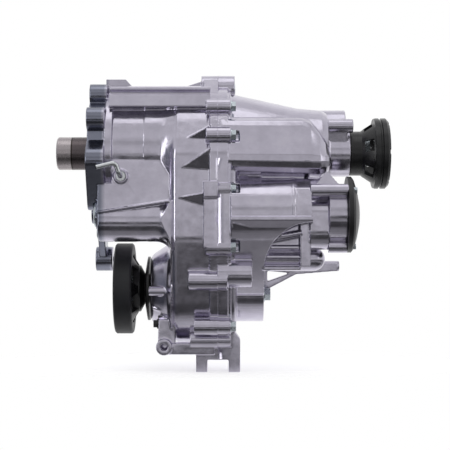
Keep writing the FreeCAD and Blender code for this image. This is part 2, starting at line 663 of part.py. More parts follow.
def front_hollows():
    lobes = ring_of(GEARBOX_BOLTS, GEARBOX_PCD / 2, GEARBOX_BOLT_START)
    room_end = CHAIN_X + WALL
    cuts = [disc_x(PILOT_R, -1, PILOT_DEPTH),
            disc_x(SEAL_BORE_R, PILOT_DEPTH - 1, INPUT_BEARING_X[0]),
            disc_x(INPUT_BEARING_R, INPUT_BEARING_X[0], GEAR_X[0]),
            disc_x(GEAR_BORE_R, INPUT_BEARING_X[1] + 2, room_end + 1),
            disc_x(SNAP_GROOVE_R, GEAR_X[1], GEAR_X[1] + SNAP_RING_T),
            hull_x([(0.0, 0.0, 45.0), (*SELECTOR, DRUM_R + 4)], GEAR_X[1] + 1, room_end + 1),
            chain_room(room_end, SPLIT_X + 1),
            disc_x(SELECTOR_R + RUN_GAP, POD_X, CHAIN_X, *SELECTOR),
            disc_x(PLUG_R + SEAT_GAP, POD_X - 7, PLUG_BACK_X, *SELECTOR),
            disc_x(CORE_PLUG_R + SEAT_GAP, POD_X - 3, POD_X + 4, *CORE_PLUG_AT),
            peg_y(BREATHER_FOOT_R, BREATHER_BOSS_Y[0] - 1, BREATHER_BOSS_Y[1], *BREATHER_AT),
            disc_x(FRONT_SEAL_R, FRONT_NOSE_X - 1, FRONT_BEARING_X[0], *FRONT),
            disc_x(FRONT_BEARING_R, FRONT_BEARING_X[0], room_end + 1, *FRONT),
            disc_x(DRAIN_R + SEAT_GAP, DRAIN_X - 1, room_end + 1, *DRAIN_AT),
            peg_y(CROSS_HOLE_R, CROSS_BOSS_Y[0] - 1, CROSS_BOSS_Y[0] + CROSS_HOLE_DEPTH, *CROSS_BOSS),
            disc_x(CLEVIS_HOLE_R, CLEVIS_FRONT_X[0] - 1, SPLIT_X + 1, *CLEVIS_AT)]
    cuts += [disc_x(LOBE_HOLE_R, -1, LOBE_HOLE_DEPTH, *at) for at in lobes]
    cuts.append(disc_x(LOBE_HOLE_R, -1, FLANGE_T + 1, *LOW_LOBE))
    cuts += joint_holes(BOLT_R + SEAT_GAP, SPLIT_X - BOLT_DEPTH, SPLIT_X + 1)
    cuts += dowel_holes(SPLIT_X - DOWEL_DEPTH, SPLIT_X + 1)
    return cuts


# Rear half of the case

def dome():
    """Near side dome over the clutch: its face comes nearer towards the joint and is rounded off at the end."""
    wires = []
    for x, above, below, reach in DOME_STATIONS:
        points = []
        for y, z in DOME:
            rise = z - DOME_MIDDLE_Z
            points.append(Vector(x, y * reach, DOME_MIDDLE_Z + rise * (above if rise > 0 else below)))
        wires.append(Part.makePolygon(points + points[:1]))
    return Part.makeLoft(wires, True, True)


def selector_housing():
    x0, x1 = HOUSING_X
    y, z = SELECTOR
    body = joined([disc_x(HOUSING_R, x0, x1, y, z), disc_x(COLLAR_R, x1 - 6, x1 - 3, y, z),
                   prism_x(ring_of(COLLAR_SIDES, COLLAR_R, 180.0 / COLLAR_SIDES, y, z), x1 - 1, COLLAR_X)])
    forms = [body.cut(near_arch()), block(*HOUSING_NECK),
             hull_x([(y, z, STEM_R), (y, z - STEM_DROP, STEM_R)], COLLAR_X - 1, PORT_X[0] + 1),
             disc_x(PORT_R, *PORT_X, y, z),
             hull_x([(0.0, 0.0, SECTOR_BOX_R), (y, z, SECTOR_BOX_R)], SECTOR_X[0] - 10, SECTOR_X[1] + 10)]
    for y, z in CAP_SCREWS:
        forms.append(disc_x(PORT_BOSS_R, PORT_X[0], PORT_X[1], y, z))
    y, z = CAP_SCREWS[0]
    near, far, top_z, low = PORT_FIN
    forms.append(disc_x(PORT_BOSS_R, COLLAR_X - 1, PORT_X[1], y, z))
    forms.append(tetra((COLLAR_X, y + 4, z), (PORT_X[1] - 4, y + 4, z), (PORT_FIN_X, y + near, top_z),
                       (PORT_FIN_X, y + far, z - low)))
    return forms


def near_arch():
    """Wide arch of the near part, up to the collar's rear face."""
    x, z, r, deep_y = NEAR_ARCH
    return peg_y(r, -130, deep_y, x, z).common(block(TAIL_X - 5, COLLAR_X + 2, -131, deep_y, z, z + r + 1))


def tail_web():
    """Web between the selector housing and the tail of the front output, cut by an arch."""
    x, z, r = ARCH
    core = [(*FRONT, TAIL_R - WEB_SET_BACK), (*SELECTOR, HOUSING_R - WEB_SET_BACK)]
    web = hull_x(core, SPLIT_X + JOINT_REAR_T, BULKHEAD_X[1])
    arch = peg_y(r, -130, 60, x, z)
    below = block(TAIL_X, BULKHEAD_X[1] + 1, -130, 60, FRONT_Z - 60, z)
    slab = prism_x(WEB_SLAB, SPLIT_X + JOINT_REAR_T, COLLAR_X + 1)
    tail = disc_x(TAIL_R, SPLIT_X + JOINT_REAR_T, TAIL_X, *FRONT)
    return [joined([web, slab]).cut([arch, below, near_arch(), tetra(*WEB_POCKET)]), tail]


def tail_ribs():
    x0, x1 = BULKHEAD_X
    bulkhead = block(x0, x1, *BULKHEAD_YZ)
    stay = disc_x(STAY_R, TAIL_X - 3, x1 + 6, STAY_Y, STAY_Z)
    stay = joined([stay, Part.makeSphere(STAY_R, Vector(x1 + 6, STAY_Y, STAY_Z))])
    long_boss = disc_x(LONG_BOSS_R, x0, LONG_BOSS_END_X, *LONG_BOSS_AT)
    diagonal = prism_y([(TAIL_X - 2, -160), (TAIL_X - 2, -200), (TAIL_X + 11, -196), (x0, -176),
                        (LONG_BOSS_END_X - 3, -171), (LONG_BOSS_END_X - 3, -160)], *DIAGONAL_Y)
    diagonal = diagonal.cut(prism_y(DIAGONAL_WINDOW, DIAGONAL_Y[0] - 1, DIAGONAL_Y[1] + 1))
    arch_rib = prism_y(ARCH_RIB, *ARCH_RIB_Y)
    shelves = [prism_y([(TAIL_X - 2, z), (TAIL_X - 2, z - RIB), (x0 + 1, z + tilt - RIB), (x0 + 1, z + tilt)],
                       y, 20) for z, tilt, y in TAIL_SHELVES]
    return [bulkhead, stay, long_boss, diagonal, arch_rib] + shelves


def rear_feet():
    y, z = CLEVIS_AT
    half, below = CLEVIS_EAR
    x0, x1 = CLEVIS_REAR_X
    ear = prism_y([(x0, z - below), (x1, z - below), (x1, z + 37), (x1 - 6, z + 45), (x0, z + 57)],
                  y - half, y + half)
    return [ear, block(SPLIT_X, x0 + 1, y - half, y + half, z + CLEVIS_WEB[0], z + CLEVIS_WEB[1])]


def rear_outside():
    x0, x1 = SPLIT_X, SPLIT_X + JOINT_REAR_T
    step = [(y, z, r) for y, z, r in grown(CHAIN_SHAPE, -2)]
    forms = [hull_x(grown(CHAIN_SHAPE, JOINT_LIP), x0, x1 - 4),
             hull_x(grown(CHAIN_SHAPE, JOINT_LIP - 3), x0, x1),
             round_face(hull_x(step, x0, x1 + 8), 7.0, x1 + 8)]
    forms += [disc_x(JOINT_BOSS_R, x0, x1, *at) for at in CASE_BOLTS + DOWELS]
    forms += [disc_x(r - 1, x0, x1 - 5, y, z) for x, y, z, r in SIDE_BOSSES]
    forms.append(block(x0, x1, JOINT_PAD[1], -80, *JOINT_PAD[2:]))
    forms.append(disc_x(SIDE_TOWER_R, x0, x1 + SIDE_TOWER_L, *SIDE_TOWER_AT))
    forms.append(disc_x(TOP_BOSS_R, x0, TOP_BOSS_X[1], *TOP_BOSS))
    forms += [cone_x(r0, r1, a, b) for a, b, r0, r1 in zip(CONE_X, CONE_X[1:], CONE_R, CONE_R[1:])]
    forms.append(disc_x(NECK_R, CONE_X[2], NECK_END_X))
    forms.append(flare(NECK_R, 12.0, CONE_X[3] - 4, side=-1))
    y, z, r = RIDGE
    forms.append(joined([disc_x(r, *RIDGE_X, y, z), cone_x(46.0, r, x1, RIDGE_X[0], y, z)]))
    forms.append(hull_x([(y, z, r), (0.0, 0.0, NECK_R - 6)], RIDGE_X[0], RIDGE_X[1] - 10))
    y, z, r = NECK_BOSS
    forms.append(disc_x(r, *NECK_BOSS_X, y, z))
    forms.append(hull_x([(y, z, r - 2), (0.0, 0.0, NECK_R - 8)], CONE_X[2], NECK_BOSS_X[1] - 8))
    forms.append(dome())
    return joined(forms + selector_housing() + tail_web() + tail_ribs() + rear_feet())


def sector_room():
    """Space for the toothed sector between the main line and the selector shaft."""
    half, beyond = SECTOR_ROOM
    reach = SECTOR_MODULE * SECTOR_TEETH / 2 + beyond
    mesh = math.degrees(math.atan2(SELECTOR_Z, SELECTOR_Y))
    corners = [(0.0, 0.0)]
    corners += [(1.2 * reach * math.cos(math.radians(mesh + a)), 1.2 * reach * math.sin(math.radians(mesh + a)))
                for a in (-half, 0.0, half)]
    return prism_x(corners, SECTOR_X[0] - 2, SECTOR_X[1] + 3).common(disc_x(reach, SECTOR_X[0] - 5, SECTOR_X[1] + 5))


def rear_hollows():
    seat_x = REAR_BEARING_X[0]
    cuts = [chain_room(SPLIT_X - 1, SPLIT_X + JOINT_REAR_T),
            cone_x(CONE_R[0] - 10, 58.0, SPLIT_X + JOINT_REAR_T - 1, SLEEVE_BASE_X),
            disc_x(REAR_BEARING_R, seat_x - 1, REAR_BEARING_X[1]),
            disc_x(MAIN_R + 7, seat_x, REAR_SEAL_X[0]),
            disc_x(REAR_SEAL_R, REAR_SEAL_X[0], NECK_END_X + 1),
            disc_x(CHAMBER_R, SPLIT_X + JOINT_REAR_T + 6, CHAMBER_END_X, *SELECTOR),
            disc_x(SELECTOR_R + 3, SPLIT_X, CHAMBER_END_X, *SELECTOR),
            disc_x(SELECTOR_R + RUN_GAP, HOUSING_X[0], PORT_X[1], *SELECTOR),
            disc_x(PORT_BORE_R, PORT_X[1] - PORT_DEPTH, PORT_X[1] + 1, *SELECTOR),
            disc_x(TAIL_BEARING_R + 6, SPLIT_X + JOINT_REAR_T - 1, TAIL_BEARING_X[0], *FRONT),
            disc_x(TAIL_BEARING_R, TAIL_BEARING_X[0] - 1, TAIL_BEARING_X[1] + 1, *FRONT),
            disc_x(FILL_R + SEAT_GAP, TAIL_BEARING_X[1] - 1, TAIL_X + 1, *FILL_AT),
            disc_x(4.0, NECK_BOSS_X[1] - 20, NECK_BOSS_X[1] + 1, *NECK_BOSS[:2]),
            disc_x(CLEVIS_HOLE_R, SPLIT_X - 1, CLEVIS_REAR_X[1] + 1, *CLEVIS_AT),
            sector_room()]
    cuts += [disc_x(CAP_SCREW_R + SEAT_GAP, PORT_X[1] - CAP_SCREW_DEPTH - 1, PORT_X[1] + 1, *at) for at in CAP_SCREWS]
    cuts += joint_holes(BOLT_R + CLEAR, SPLIT_X - 1, SPLIT_X + JOINT_REAR_T + 3)
    cuts += dowel_holes(SPLIT_X - 1, SPLIT_X + DOWEL_DEPTH)
    return cuts


def bolt_seats():
    """Room for the bolt heads on the rear face of the joint."""
    face = SPLIT_X + JOINT_REAR_T
    return [disc_x(BOLT_WASHER_R + 1, face, face + 12, *at) for at in CASE_BOLTS]


nodes["front_case"] = front_outside().cut(front_hollows())
nodes["rear_case"] = rear_outside().cut(rear_hollows() + bolt_seats())


# Fasteners, plugs, seals and bearings of the case

def joint_bolt(y, z):
    face = SPLIT_X + JOINT_REAR_T
    return joined([disc_x(BOLT_R, SPLIT_X - BOLT_DEPTH + 1, face + 2, y, z),
                   disc_x(BOLT_WASHER_R, face, face + 1.6, y, z),
                   prism_x(hexagon(BOLT_HEAD_AF, y, z), face + 1, face + BOLT_HEAD_T)])


def hex_plug(radius, head_r, hex_af, x_face, x_in, head_t, y, z, side):
    """Threaded plug with a round flange and a hexagon, whose head is on the given side of its face."""
    out = x_face + side * head_t
    flange = x_face + side * 2.0
    return joined([disc_x(radius, min(x_in, x_face), max(x_in, x_face), y, z),
                   disc_x(head_r, min(x_face, flange), max(x_face, flange), y, z),
                   prism_x(hexagon(hex_af, y, z), min(x_face, out), max(x_face, out))])


def breather():
    """Breather pipe: straight out of its boss, up, and bent round to its open end on the left."""
    x, z = BREATHER_AT
    face_y, deep_y = BREATHER_BOSS_Y
    bend = 7.0
    points = [Vector(x, deep_y, z), Vector(x, face_y - 12, z), Vector(x - 6, face_y - 14, z + 18),
              Vector(x - 32, face_y - 22, z + 11)]
    edges, start = [], points[0]
    for before, corner, after in zip(points, points[1:], points[2:]):
        a, b = (before - corner).normalize(), (after - corner).normalize()
        half = a.getAngle(b) / 2
        cut = bend / math.tan(half)
        centre = corner + (a + b).normalize() * (bend / math.sin(half))
        middle = centre - (a + b).normalize() * bend
        edges.append(Part.makeLine(start, corner + a * cut))
        edges.append(Part.Arc(corner + a * cut, middle, corner + b * cut).toShape())
        start = corner + b * cut
    edges.append(Part.makeLine(start, points[-1]))
    profile = Part.Face(Part.Wire(Part.makeCircle(BREATHER_R, points[0], Vector(0, 1, 0))))
    pipe = Part.Wire(edges).makePipe(profile)
    foot = peg_y(BREATHER_FOOT_R - SEAT_GAP, face_y - 1.5, deep_y, x, z)
    inward = (points[-2] - points[-1]).normalize()
    bore = Part.makeCylinder(BREATHER_BORE_R, 9.0, points[-1] - inward, inward)
    return joined([pipe, foot, peg_y(BREATHER_R + 1.6, face_y - 5, face_y - 1, x, z)]).cut(bore)


def chain_link(along):
    """One pitch of the chain, as a block whose tooth points into the sprocket."""
    half = CHAIN_PITCH / 2
    section = [(-0.94 * half, CHAIN_BACK), (-0.94 * half, -1.0), (-0.56 * half, -1.6), (-0.24 * half, -LINK_TOOTH),
               (0.24 * half, -LINK_TOOTH), (0.56 * half, -1.6), (0.94 * half, -1.0), (0.94 * half, CHAIN_BACK)]
    y, z, angle = chain_place(along)
    outward = (math.cos(angle), math.sin(angle))
    points = [(y + outward[0] * n - outward[1] * u, z + outward[1] * n + outward[0] * u) for u, n in section]
    return prism_x(points, SPROCKET_X[0] + 1, SPROCKET_X[1] - 1)


def chain_place(along):
    """Point of the chain line and its outward angle, by the distance from the far side of the top."""
    wrap = SPROCKET_TEETH * CHAIN_PITCH / 2
    run = -FRONT_Z
    if along < wrap:
        angle = math.pi * along / wrap
        return SPROCKET_R * math.cos(angle), SPROCKET_R * math.sin(angle), angle
    if along < wrap + run:
        return -SPROCKET_R, wrap - along, math.pi
    if along < 2 * wrap + run:
        angle = math.pi + math.pi * (along - wrap - run) / wrap
        return SPROCKET_R * math.cos(angle), FRONT_Z + SPROCKET_R * math.sin(angle), angle
    return SPROCKET_R, FRONT_Z + along - 2 * wrap - run, 0.0


def ring_gear():
    tip = MODULE * (RING_TEETH / 2 - ADDENDUM)
    root = MODULE * (RING_TEETH / 2 + DEDENDUM)
    space = gear_outline(RING_TEETH, MODULE, root, tip, -BACKLASH, math.pi / RING_TEETH)
    return disc_x(GEAR_BORE_R - SEAT_GAP, *GEAR_X).cut(prism_x(space, GEAR_X[0] - 1, GEAR_X[1] + 1))


def snap_ring(radius, x0, x1, y=0.0, z=0.0):
    ring = tube_x(radius - SEAT_GAP, radius - 6, x0, x1, y, z)
    return ring.cut(block(x0 - 1, x1 + 1, y - 5, y + 5, z, z + radius))


def port_cap():
    """Plastic cap over the actuator port: flat rim, shallow dome and a cup into the port."""
    x = PORT_X[1]
    cap = revolve_x([(x - 6, 0), (x - 6, PORT_BORE_R - 0.5), (x, PORT_BORE_R - 0.5), (x, CAP_R), (x + 6, CAP_R),
                     (x + 9, CAP_R - 4), (x + 13, CAP_R - 16), (CAP_END_X, 18), (CAP_END_X, 0)], *SELECTOR)
    seats = [disc_x(CAP_SCREW_HEAD_R + 1, CAP_SEAT_X, CAP_END_X, *at) for at in CAP_SCREWS]
    return cap.cut(seats + [disc_x(CAP_SCREW_R + CLEAR, x - 1, CAP_END_X, *at) for at in CAP_SCREWS])


def cap_screw(y, z):
    head = prism_x(hexagon(2 * CAP_SCREW_HEAD_R * 0.86, y, z), CAP_SEAT_X + 1, CAP_SEAT_X + 5)
    return joined([disc_x(CAP_SCREW_R, PORT_X[1] - CAP_SCREW_DEPTH, CAP_SEAT_X + 2, y, z),
                   disc_x(CAP_SCREW_HEAD_R, CAP_SEAT_X, CAP_SEAT_X + 1.2, y, z), head])


def selector_bore_plug():
    """Steel cup pressed into the end of the selector bore."""
    seat = PLUG_R - SEAT_GAP
    return revolve_x([(POD_X - 6, 0), (POD_X - 6, PLUG_R - 3), (POD_X - 5, seat), (PLUG_BACK_X, seat),
                      (PLUG_BACK_X, PLUG_R - 3), (POD_X - 2, PLUG_R - 3), (POD_X - 2, 0)], *SELECTOR)


def reaction_sleeve():
    """Fixed sleeve on the rear wall that carries the ball ramp ring and the pressure plate."""
    nose = RAMP_BORE_R
    back = SECTOR_X[1] + CLEAR
    return revolve_x([(PRESSURE_X[0] - 1, nose - 4), (PRESSURE_X[0] - 1, nose), (back, nose), (back, 52),
                      (back + 5, 52), (back + 5, nose + 6), (SLEEVE_BASE_X - 6, nose + 6), (SLEEVE_BASE_X - 6, 57),
                      (SLEEVE_BASE_X, 57), (SLEEVE_BASE_X, nose - 4)])


nodes["joint_bolts"] = Part.makeCompound([joint_bolt(*at) for at in CASE_BOLTS])
nodes["joint_dowels"] = Part.makeCompound([disc_x(DOWEL_R, SPLIT_X - DOWEL_DEPTH + 1, SPLIT_X + DOWEL_DEPTH - 1, *at)
                                           for at in DOWELS])
nodes["ring_gear"] = ring_gear()
nodes["ring_gear_snap_ring"] = snap_ring(SNAP_GROOVE_R, GEAR_X[1], GEAR_X[1] + SNAP_RING_T)
nodes["input_seal"] = lip_seal(SEAL_BORE_R, INPUT_R, PILOT_DEPTH, INPUT_BEARING_X[0])
nodes["rear_output_seal"] = lip_seal(REAR_SEAL_R, OUTPUT_SLEEVE_R, *REAR_SEAL_X)
nodes["front_output_seal"] = lip_seal(FRONT_SEAL_R, FRONT_HUB_R, FRONT_NOSE_X + 1, FRONT_BEARING_X[0] - 1, *FRONT)
nodes["drain_plug"] = hex_plug(DRAIN_R, DRAIN_R + 2, 10.0, DRAIN_X, CHAIN_X + WALL, 7.0, *DRAIN_AT, -1)
nodes["fill_plug"] = hex_plug(FILL_R, FILL_R + 3, 17.0, TAIL_X, TAIL_BEARING_X[1] + 1, 10.0, *FILL_AT, 1)
nodes["selector_bore_plug"] = selector_bore_plug()
nodes["core_plug"] = disc_x(CORE_PLUG_R, POD_X - 3, POD_X + 4, *CORE_PLUG_AT)
nodes["breather"] = breather()
nodes["drive_chain"] = Part.makeCompound([chain_link((i + 0.5) * CHAIN_PITCH) for i in range(CHAIN_LINKS)])
nodes["port_cap"] = port_cap()
nodes["port_cap_screws"] = Part.makeCompound([cap_screw(*at) for at in CAP_SCREWS])
nodes["reaction_sleeve"] = reaction_sleeve()
bearing("input_bearing", INPUT_R, INPUT_BEARING_R, *INPUT_BEARING_X)
bearing("rear_bearing", MAIN_R, REAR_BEARING_R, *REAR_BEARING_X)
bearing("front_bearing", FRONT_SHAFT_R, FRONT_BEARING_R, *FRONT_BEARING_X, *FRONT)
bearing("tail_bearing", FRONT_SHAFT_R, TAIL_BEARING_R, *TAIL_BEARING_X, *FRONT)


# Input shaft and planetary reduction

def input_shaft():
    """Splined sleeve, sun gear and the dog teeth that the range sleeve slides over."""
    collar = SPLINE_R
    body = revolve_x([(INPUT_END_X, INPUT_PILOT_R), (INPUT_END_X, INPUT_R - 2), (INPUT_END_X + 2, INPUT_R),
                      (INPUT_BEARING_X[1] + 1, INPUT_R), (INPUT_BEARING_X[1] + 1, collar), (DOG_X[0] - 3, collar),
                      (DOG_X[0] - 3, SPLINE_R - 3), (DOG_X[1], SPLINE_R - 3), (DOG_X[1], NOSE_R + RUN_GAP),
                      (DOG_X[0] - 4, NOSE_R + RUN_GAP), (DOG_X[0] - 4, 0), (INPUT_BEARING_X[0], 0),
                      (INPUT_BEARING_X[0], INPUT_PILOT_R)])
    sun = gear_outline(SUN_TEETH, MODULE, MODULE * (SUN_TEETH / 2 + ADDENDUM), MODULE * (SUN_TEETH / 2 - DEDENDUM),
                       BACKLASH, 0.0)
    dog = prism_x(spline_outline(SPLINE_R, SPLINE_R - 2.5), *DOG_X).cut(disc_x(NOSE_R + 6, DOG_X[0] - 1, DOG_X[1] + 1))
    liner = tube_x(INPUT_PILOT_R + 1, INPUT_SPLINE_R[1], INPUT_END_X + INPUT_PILOT_DEPTH, INPUT_BEARING_X[0])
    teeth = disc_x(INPUT_PILOT_R + 0.5, INPUT_END_X + INPUT_PILOT_DEPTH, -5)
    teeth = teeth.cut(prism_x(straight_teeth(SPLINE_TEETH, INPUT_SPLINE_R[1], INPUT_SPLINE_R[0], 0.4, 0.6),
                              INPUT_END_X, 0))
    return joined([body, prism_x(sun, *GEAR_X), dog, liner, teeth])


def planet_carrier():
    front_x = (GEAR_X[0] - 1 - CARRIER_PLATE_T, GEAR_X[0] - 1)
    rear_x = (CUP_X[0], CUP_X[0] + CARRIER_PLATE_T + 2)
    bore = SPLINE_R + RUN_GAP
    plates = [tube_x(CARRIER_R, bore, *front_x), tube_x(CARRIER_R, bore, *rear_x)]
    posts = [disc_x(POST_R, front_x[0] + 1, rear_x[0] + 1, *at) for at in ring_of(PLANETS, PLANET_R, 45.0)]
    cup = tube_x(CUP_R[1], CUP_R[0], rear_x[1] - 1, CUP_X[1])
    low_teeth = disc_x(CUP_R[0] + 1, CUP_X[1] - 8, CUP_X[1] - 2)
    low_teeth = low_teeth.cut(prism_x(straight_teeth(SPLINE_TEETH, CUP_R[0] - 1, LOW_TEETH_R, 0.45, 0.55),
                                      CUP_X[1] - 9, CUP_X[1]))
    carrier = joined(plates + posts + [cup, low_teeth])
    return carrier.cut([disc_x(PLANET_PIN_R + SEAT_GAP, front_x[0] - 1, rear_x[1] - 1, *at)
                        for at in ring_of(PLANETS, PLANET_R)])


def planet_gear(i):
    angle = 2 * math.pi * i / PLANETS
    at = (PLANET_R * math.cos(angle), PLANET_R * math.sin(angle))
    outline = gear_outline(PLANET_TEETH, MODULE, MODULE * (PLANET_TEETH / 2 + ADDENDUM),
                           MODULE * (PLANET_TEETH / 2 - DEDENDUM), BACKLASH, angle + math.pi / PLANET_TEETH)
    x0, x1 = GEAR_X
    return prism_x(moved(outline, *at), x0, x1).cut(disc_x(PLANET_PIN_R + RUN_GAP, x0 - 1, x1 + 1, *at))


nodes["input_shaft"] = input_shaft()
nodes["planet_carrier"] = planet_carrier()
nodes["planet_pins"] = Part.makeCompound([disc_x(PLANET_PIN_R, GEAR_X[0] - 5, CUP_X[0] + 4, *at)
                                          for at in ring_of(PLANETS, PLANET_R)])
for number in range(PLANETS):
    nodes["planet_gear_%d" % (number + 1)] = planet_gear(number)


# Main shaft, clutch and rear output

def main_shaft():
    hub = prism_x(spline_outline(SPLINE_R, SPLINE_R - 2.5), *HUB_X)
    body = revolve_x([(DOG_X[0] - 2, 0), (DOG_X[0] - 2, NOSE_R), (HUB_X[0] - 2, NOSE_R), (HUB_X[0] - 2, MAIN_R),
                      (MAIN_END_X - 14, MAIN_R), (MAIN_END_X - 14, MAIN_R - 6), (MAIN_END_X, MAIN_R - 6),
                      (MAIN_END_X, 0)])
    return joined([body, hub])


def sprocket(phase, shaft_r, hub_x, y=0.0, z=0.0):
    outline = straight_teeth(SPROCKET_TEETH, SPROCKET_R - 1.4, SPROCKET_R - LINK_TOOTH - 0.5, 0.33, 0.62, phase)
    wheel = prism_x(moved(outline, y, z), *SPROCKET_X)
    hub = disc_x(27.0, *hub_x, y, z)
    dish = [tube_x(40.0, 29.0, x, x + 8, y, z) for x in (SPROCKET_X[0] - 1, SPROCKET_X[1] - 7)]
    return joined([wheel, hub]).cut(dish + [disc_x(shaft_r + SEAT_GAP, hub_x[0] - 1, hub_x[1] + 1, y, z)])


def clutch_drum():
    x0, x1 = CLUTCH_X
    drum = revolve_x([(x0, MAIN_R + SEAT_GAP), (x0, CLUTCH_R), (x1, CLUTCH_R), (x1, CLUTCH_R - 4),
                      (x0 + CLUTCH_BACK_T, CLUTCH_R - 4), (x0 + CLUTCH_BACK_T, MAIN_R + SEAT_GAP)])
    slots = [turned(block(x0 + 8, x1 + 1, -4, 4, CLUTCH_R - 6, CLUTCH_R + 2), angle) for angle in range(0, 360, 45)]
    return drum.cut(slots)


def clutch_hub():
    x0, x1 = CLUTCH_X[0] + CLUTCH_BACK_T + CLEAR, CLUTCH_X[1]
    return revolve_x([(x0, MAIN_R + SEAT_GAP), (x0, 27), (x0 + 14, 27), (x0 + 14, 31), (x0 + 1, 31), (x0 + 1, 36),
                      (x1, 36), (x1, 31), (x0 + 18, 31), (x0 + 18, 25), (x1, 25), (x1, MAIN_R + SEAT_GAP)])


def clutch_plates(first):
    """Every second plate of the pack; the steel ones reach into the drum, the lined ones to the hub."""
    plates = []
    for i in range(first, 2 * PLATES, 2):
        x = CLUTCH_X[0] + CLUTCH_BACK_T + 7 + i * PLATE_STEP
        inner, outer = PLATE_R
        if first == 0:
            outer = CLUTCH_R - 4 - CLEAR
        else:
            inner = 36 + CLEAR
        plates.append(tube_x(outer, inner, x, x + PLATE_T))
    return Part.makeCompound(plates)


def rear_flange():
    """Rear output flange: sleeve through the seal, hub, windowed basket and the grooved rim."""
    x0, x1 = REAR_HUB_X
    rim = REAR_FLANGE_R
    bore = MAIN_R + SEAT_GAP
    body = revolve_x([(REAR_BEARING_X[1], bore), (REAR_BEARING_X[1], OUTPUT_SLEEVE_R), (x0, OUTPUT_SLEEVE_R),
                      (x0, REAR_HUB_R), (x1 - 4, REAR_HUB_R), (x1, REAR_HUB_R + 3), (REAR_BASKET_X, rim - 7),
                      (REAR_BASKET_X, rim - 1), (REAR_BASKET_X + 3, rim), (REAR_BASKET_X + 7, rim),
                      (REAR_BASKET_X + 8, rim - 2), (REAR_BASKET_X + 10, rim - 2), (REAR_BASKET_X + 11, rim),
                      (REAR_FLANGE_X - 4, rim), (REAR_FLANGE_X, rim - 4), (REAR_FLANGE_X, rim - 12),
                      (REAR_FLANGE_X - 14, rim - 12), (REAR_BASKET_X - 4, rim - 16), (x1 - 2, 26), (x1 - 2, bore)])
    window = block(x1, REAR_BASKET_X - 2, -9, 9, 26, rim)
    cuts = [turned(window, 60.0 * i + 15) for i in range(6)]
    cuts += [disc_x(FLANGE_BOLT_R, REAR_FLANGE_X - 13, REAR_FLANGE_X + 1, *at)
             for at in ring_of(FLANGE_BOLTS, REAR_BOLT_PCD / 2)]
    return body.cut(cuts)


def shaft_nut(x0, x1, bore, y=0.0, z=0.0):
    return prism_x(hexagon(NUT_AF, y, z), x0, x1).cut(disc_x(bore + SEAT_GAP, x0 - 1, x1 + 1, y, z))


nodes["main_shaft"] = main_shaft()
nodes["drive_sprocket"] = sprocket(0.0, MAIN_R, (HUB_X[1] + 2, CLUTCH_X[0]))
nodes["clutch_drum"] = clutch_drum()
nodes["clutch_hub"] = clutch_hub()
nodes["steel_plates"] = clutch_plates(0)
nodes["friction_plates"] = clutch_plates(1)
nodes["rear_output_flange"] = rear_flange()
nodes["rear_flange_nut"] = shaft_nut(REAR_HUB_X[1] - 2, REAR_HUB_X[1] - 2 + NUT_T, MAIN_R - 6)


# Front output

def front_shaft():
    x0 = DAMPER_X[0] + 14
    return revolve_x([(x0, 0), (x0, FRONT_SHAFT_R - 6), (x0 + 14, FRONT_SHAFT_R - 6), (x0 + 14, FRONT_SHAFT_R),
                      (TAIL_BEARING_X[1], FRONT_SHAFT_R), (TAIL_BEARING_X[1], 0)], *FRONT)


def front_flange():
    """Three-armed flange that carries the damper ring."""
    x0, x1 = DAMPER_X
    bore = FRONT_SHAFT_R + SEAT_GAP
    hub = revolve_x([(x1 + 2, bore), (x1 + 2, 34), (x1 + 10, 34), (x1 + 17, FRONT_HUB_R),
                     (FRONT_BEARING_X[0], FRONT_HUB_R), (FRONT_BEARING_X[0], bore)], *FRONT)
    cup = revolve_x([(x0 + 8, DAMPER_BORE_R - CLEAR), (x1 - 2, DAMPER_BORE_R - CLEAR), (x1 + 10, 32), (x1 + 4, 28),
                     (x1 - 6, DAMPER_BORE_R - 6), (x0 + 8, DAMPER_BORE_R - 6)], *FRONT)
    gaps = [turned(block(x1 - 5, x1 + 12, -13, 13, FRONT_Z + 33, FRONT_Z + 60), 60.0 * i, *FRONT) for i in range(6)]
    return joined([hub, cup]).cut(gaps)


def damper_ring():
    x0, x1 = DAMPER_X
    ring = revolve_x([(x0, DAMPER_BORE_R), (x0, DAMPER_R - 2), (x0 + 2, DAMPER_R), (x1 - 2, DAMPER_R),
                      (x1, DAMPER_R - 2), (x1, DAMPER_BORE_R)], *FRONT)
    return ring.cut([disc_x(FLANGE_BOLT_R, x0 - 1, x0 + 15, *at)
                     for at in ring_of(FLANGE_BOLTS, FRONT_BOLT_PCD / 2, 0, *FRONT)])


def dust_shield():
    x1 = FRONT_NOSE_X - 2
    return revolve_x([(x1 - 6, FRONT_HUB_R + SEAT_GAP), (x1 - 6, 30), (x1 - 3, SHIELD_R), (x1, SHIELD_R),
                      (x1 - 3, 30), (x1 - 3, FRONT_HUB_R + SEAT_GAP)], *FRONT)


nodes["front_output_shaft"] = front_shaft()
nodes["driven_sprocket"] = sprocket(math.pi, FRONT_SHAFT_R, (HUB_X[1] + 2, CLUTCH_X[0]), *FRONT)
nodes["front_output_flange"] = front_flange()
nodes["damper_ring"] = damper_ring()
nodes["front_flange_nut"] = shaft_nut(DAMPER_X[1] + 2 - NUT_T, DAMPER_X[1] + 2, FRONT_SHAFT_R - 6, *FRONT)
nodes["dust_shield"] = dust_shield()


# Range shift and clutch actuation

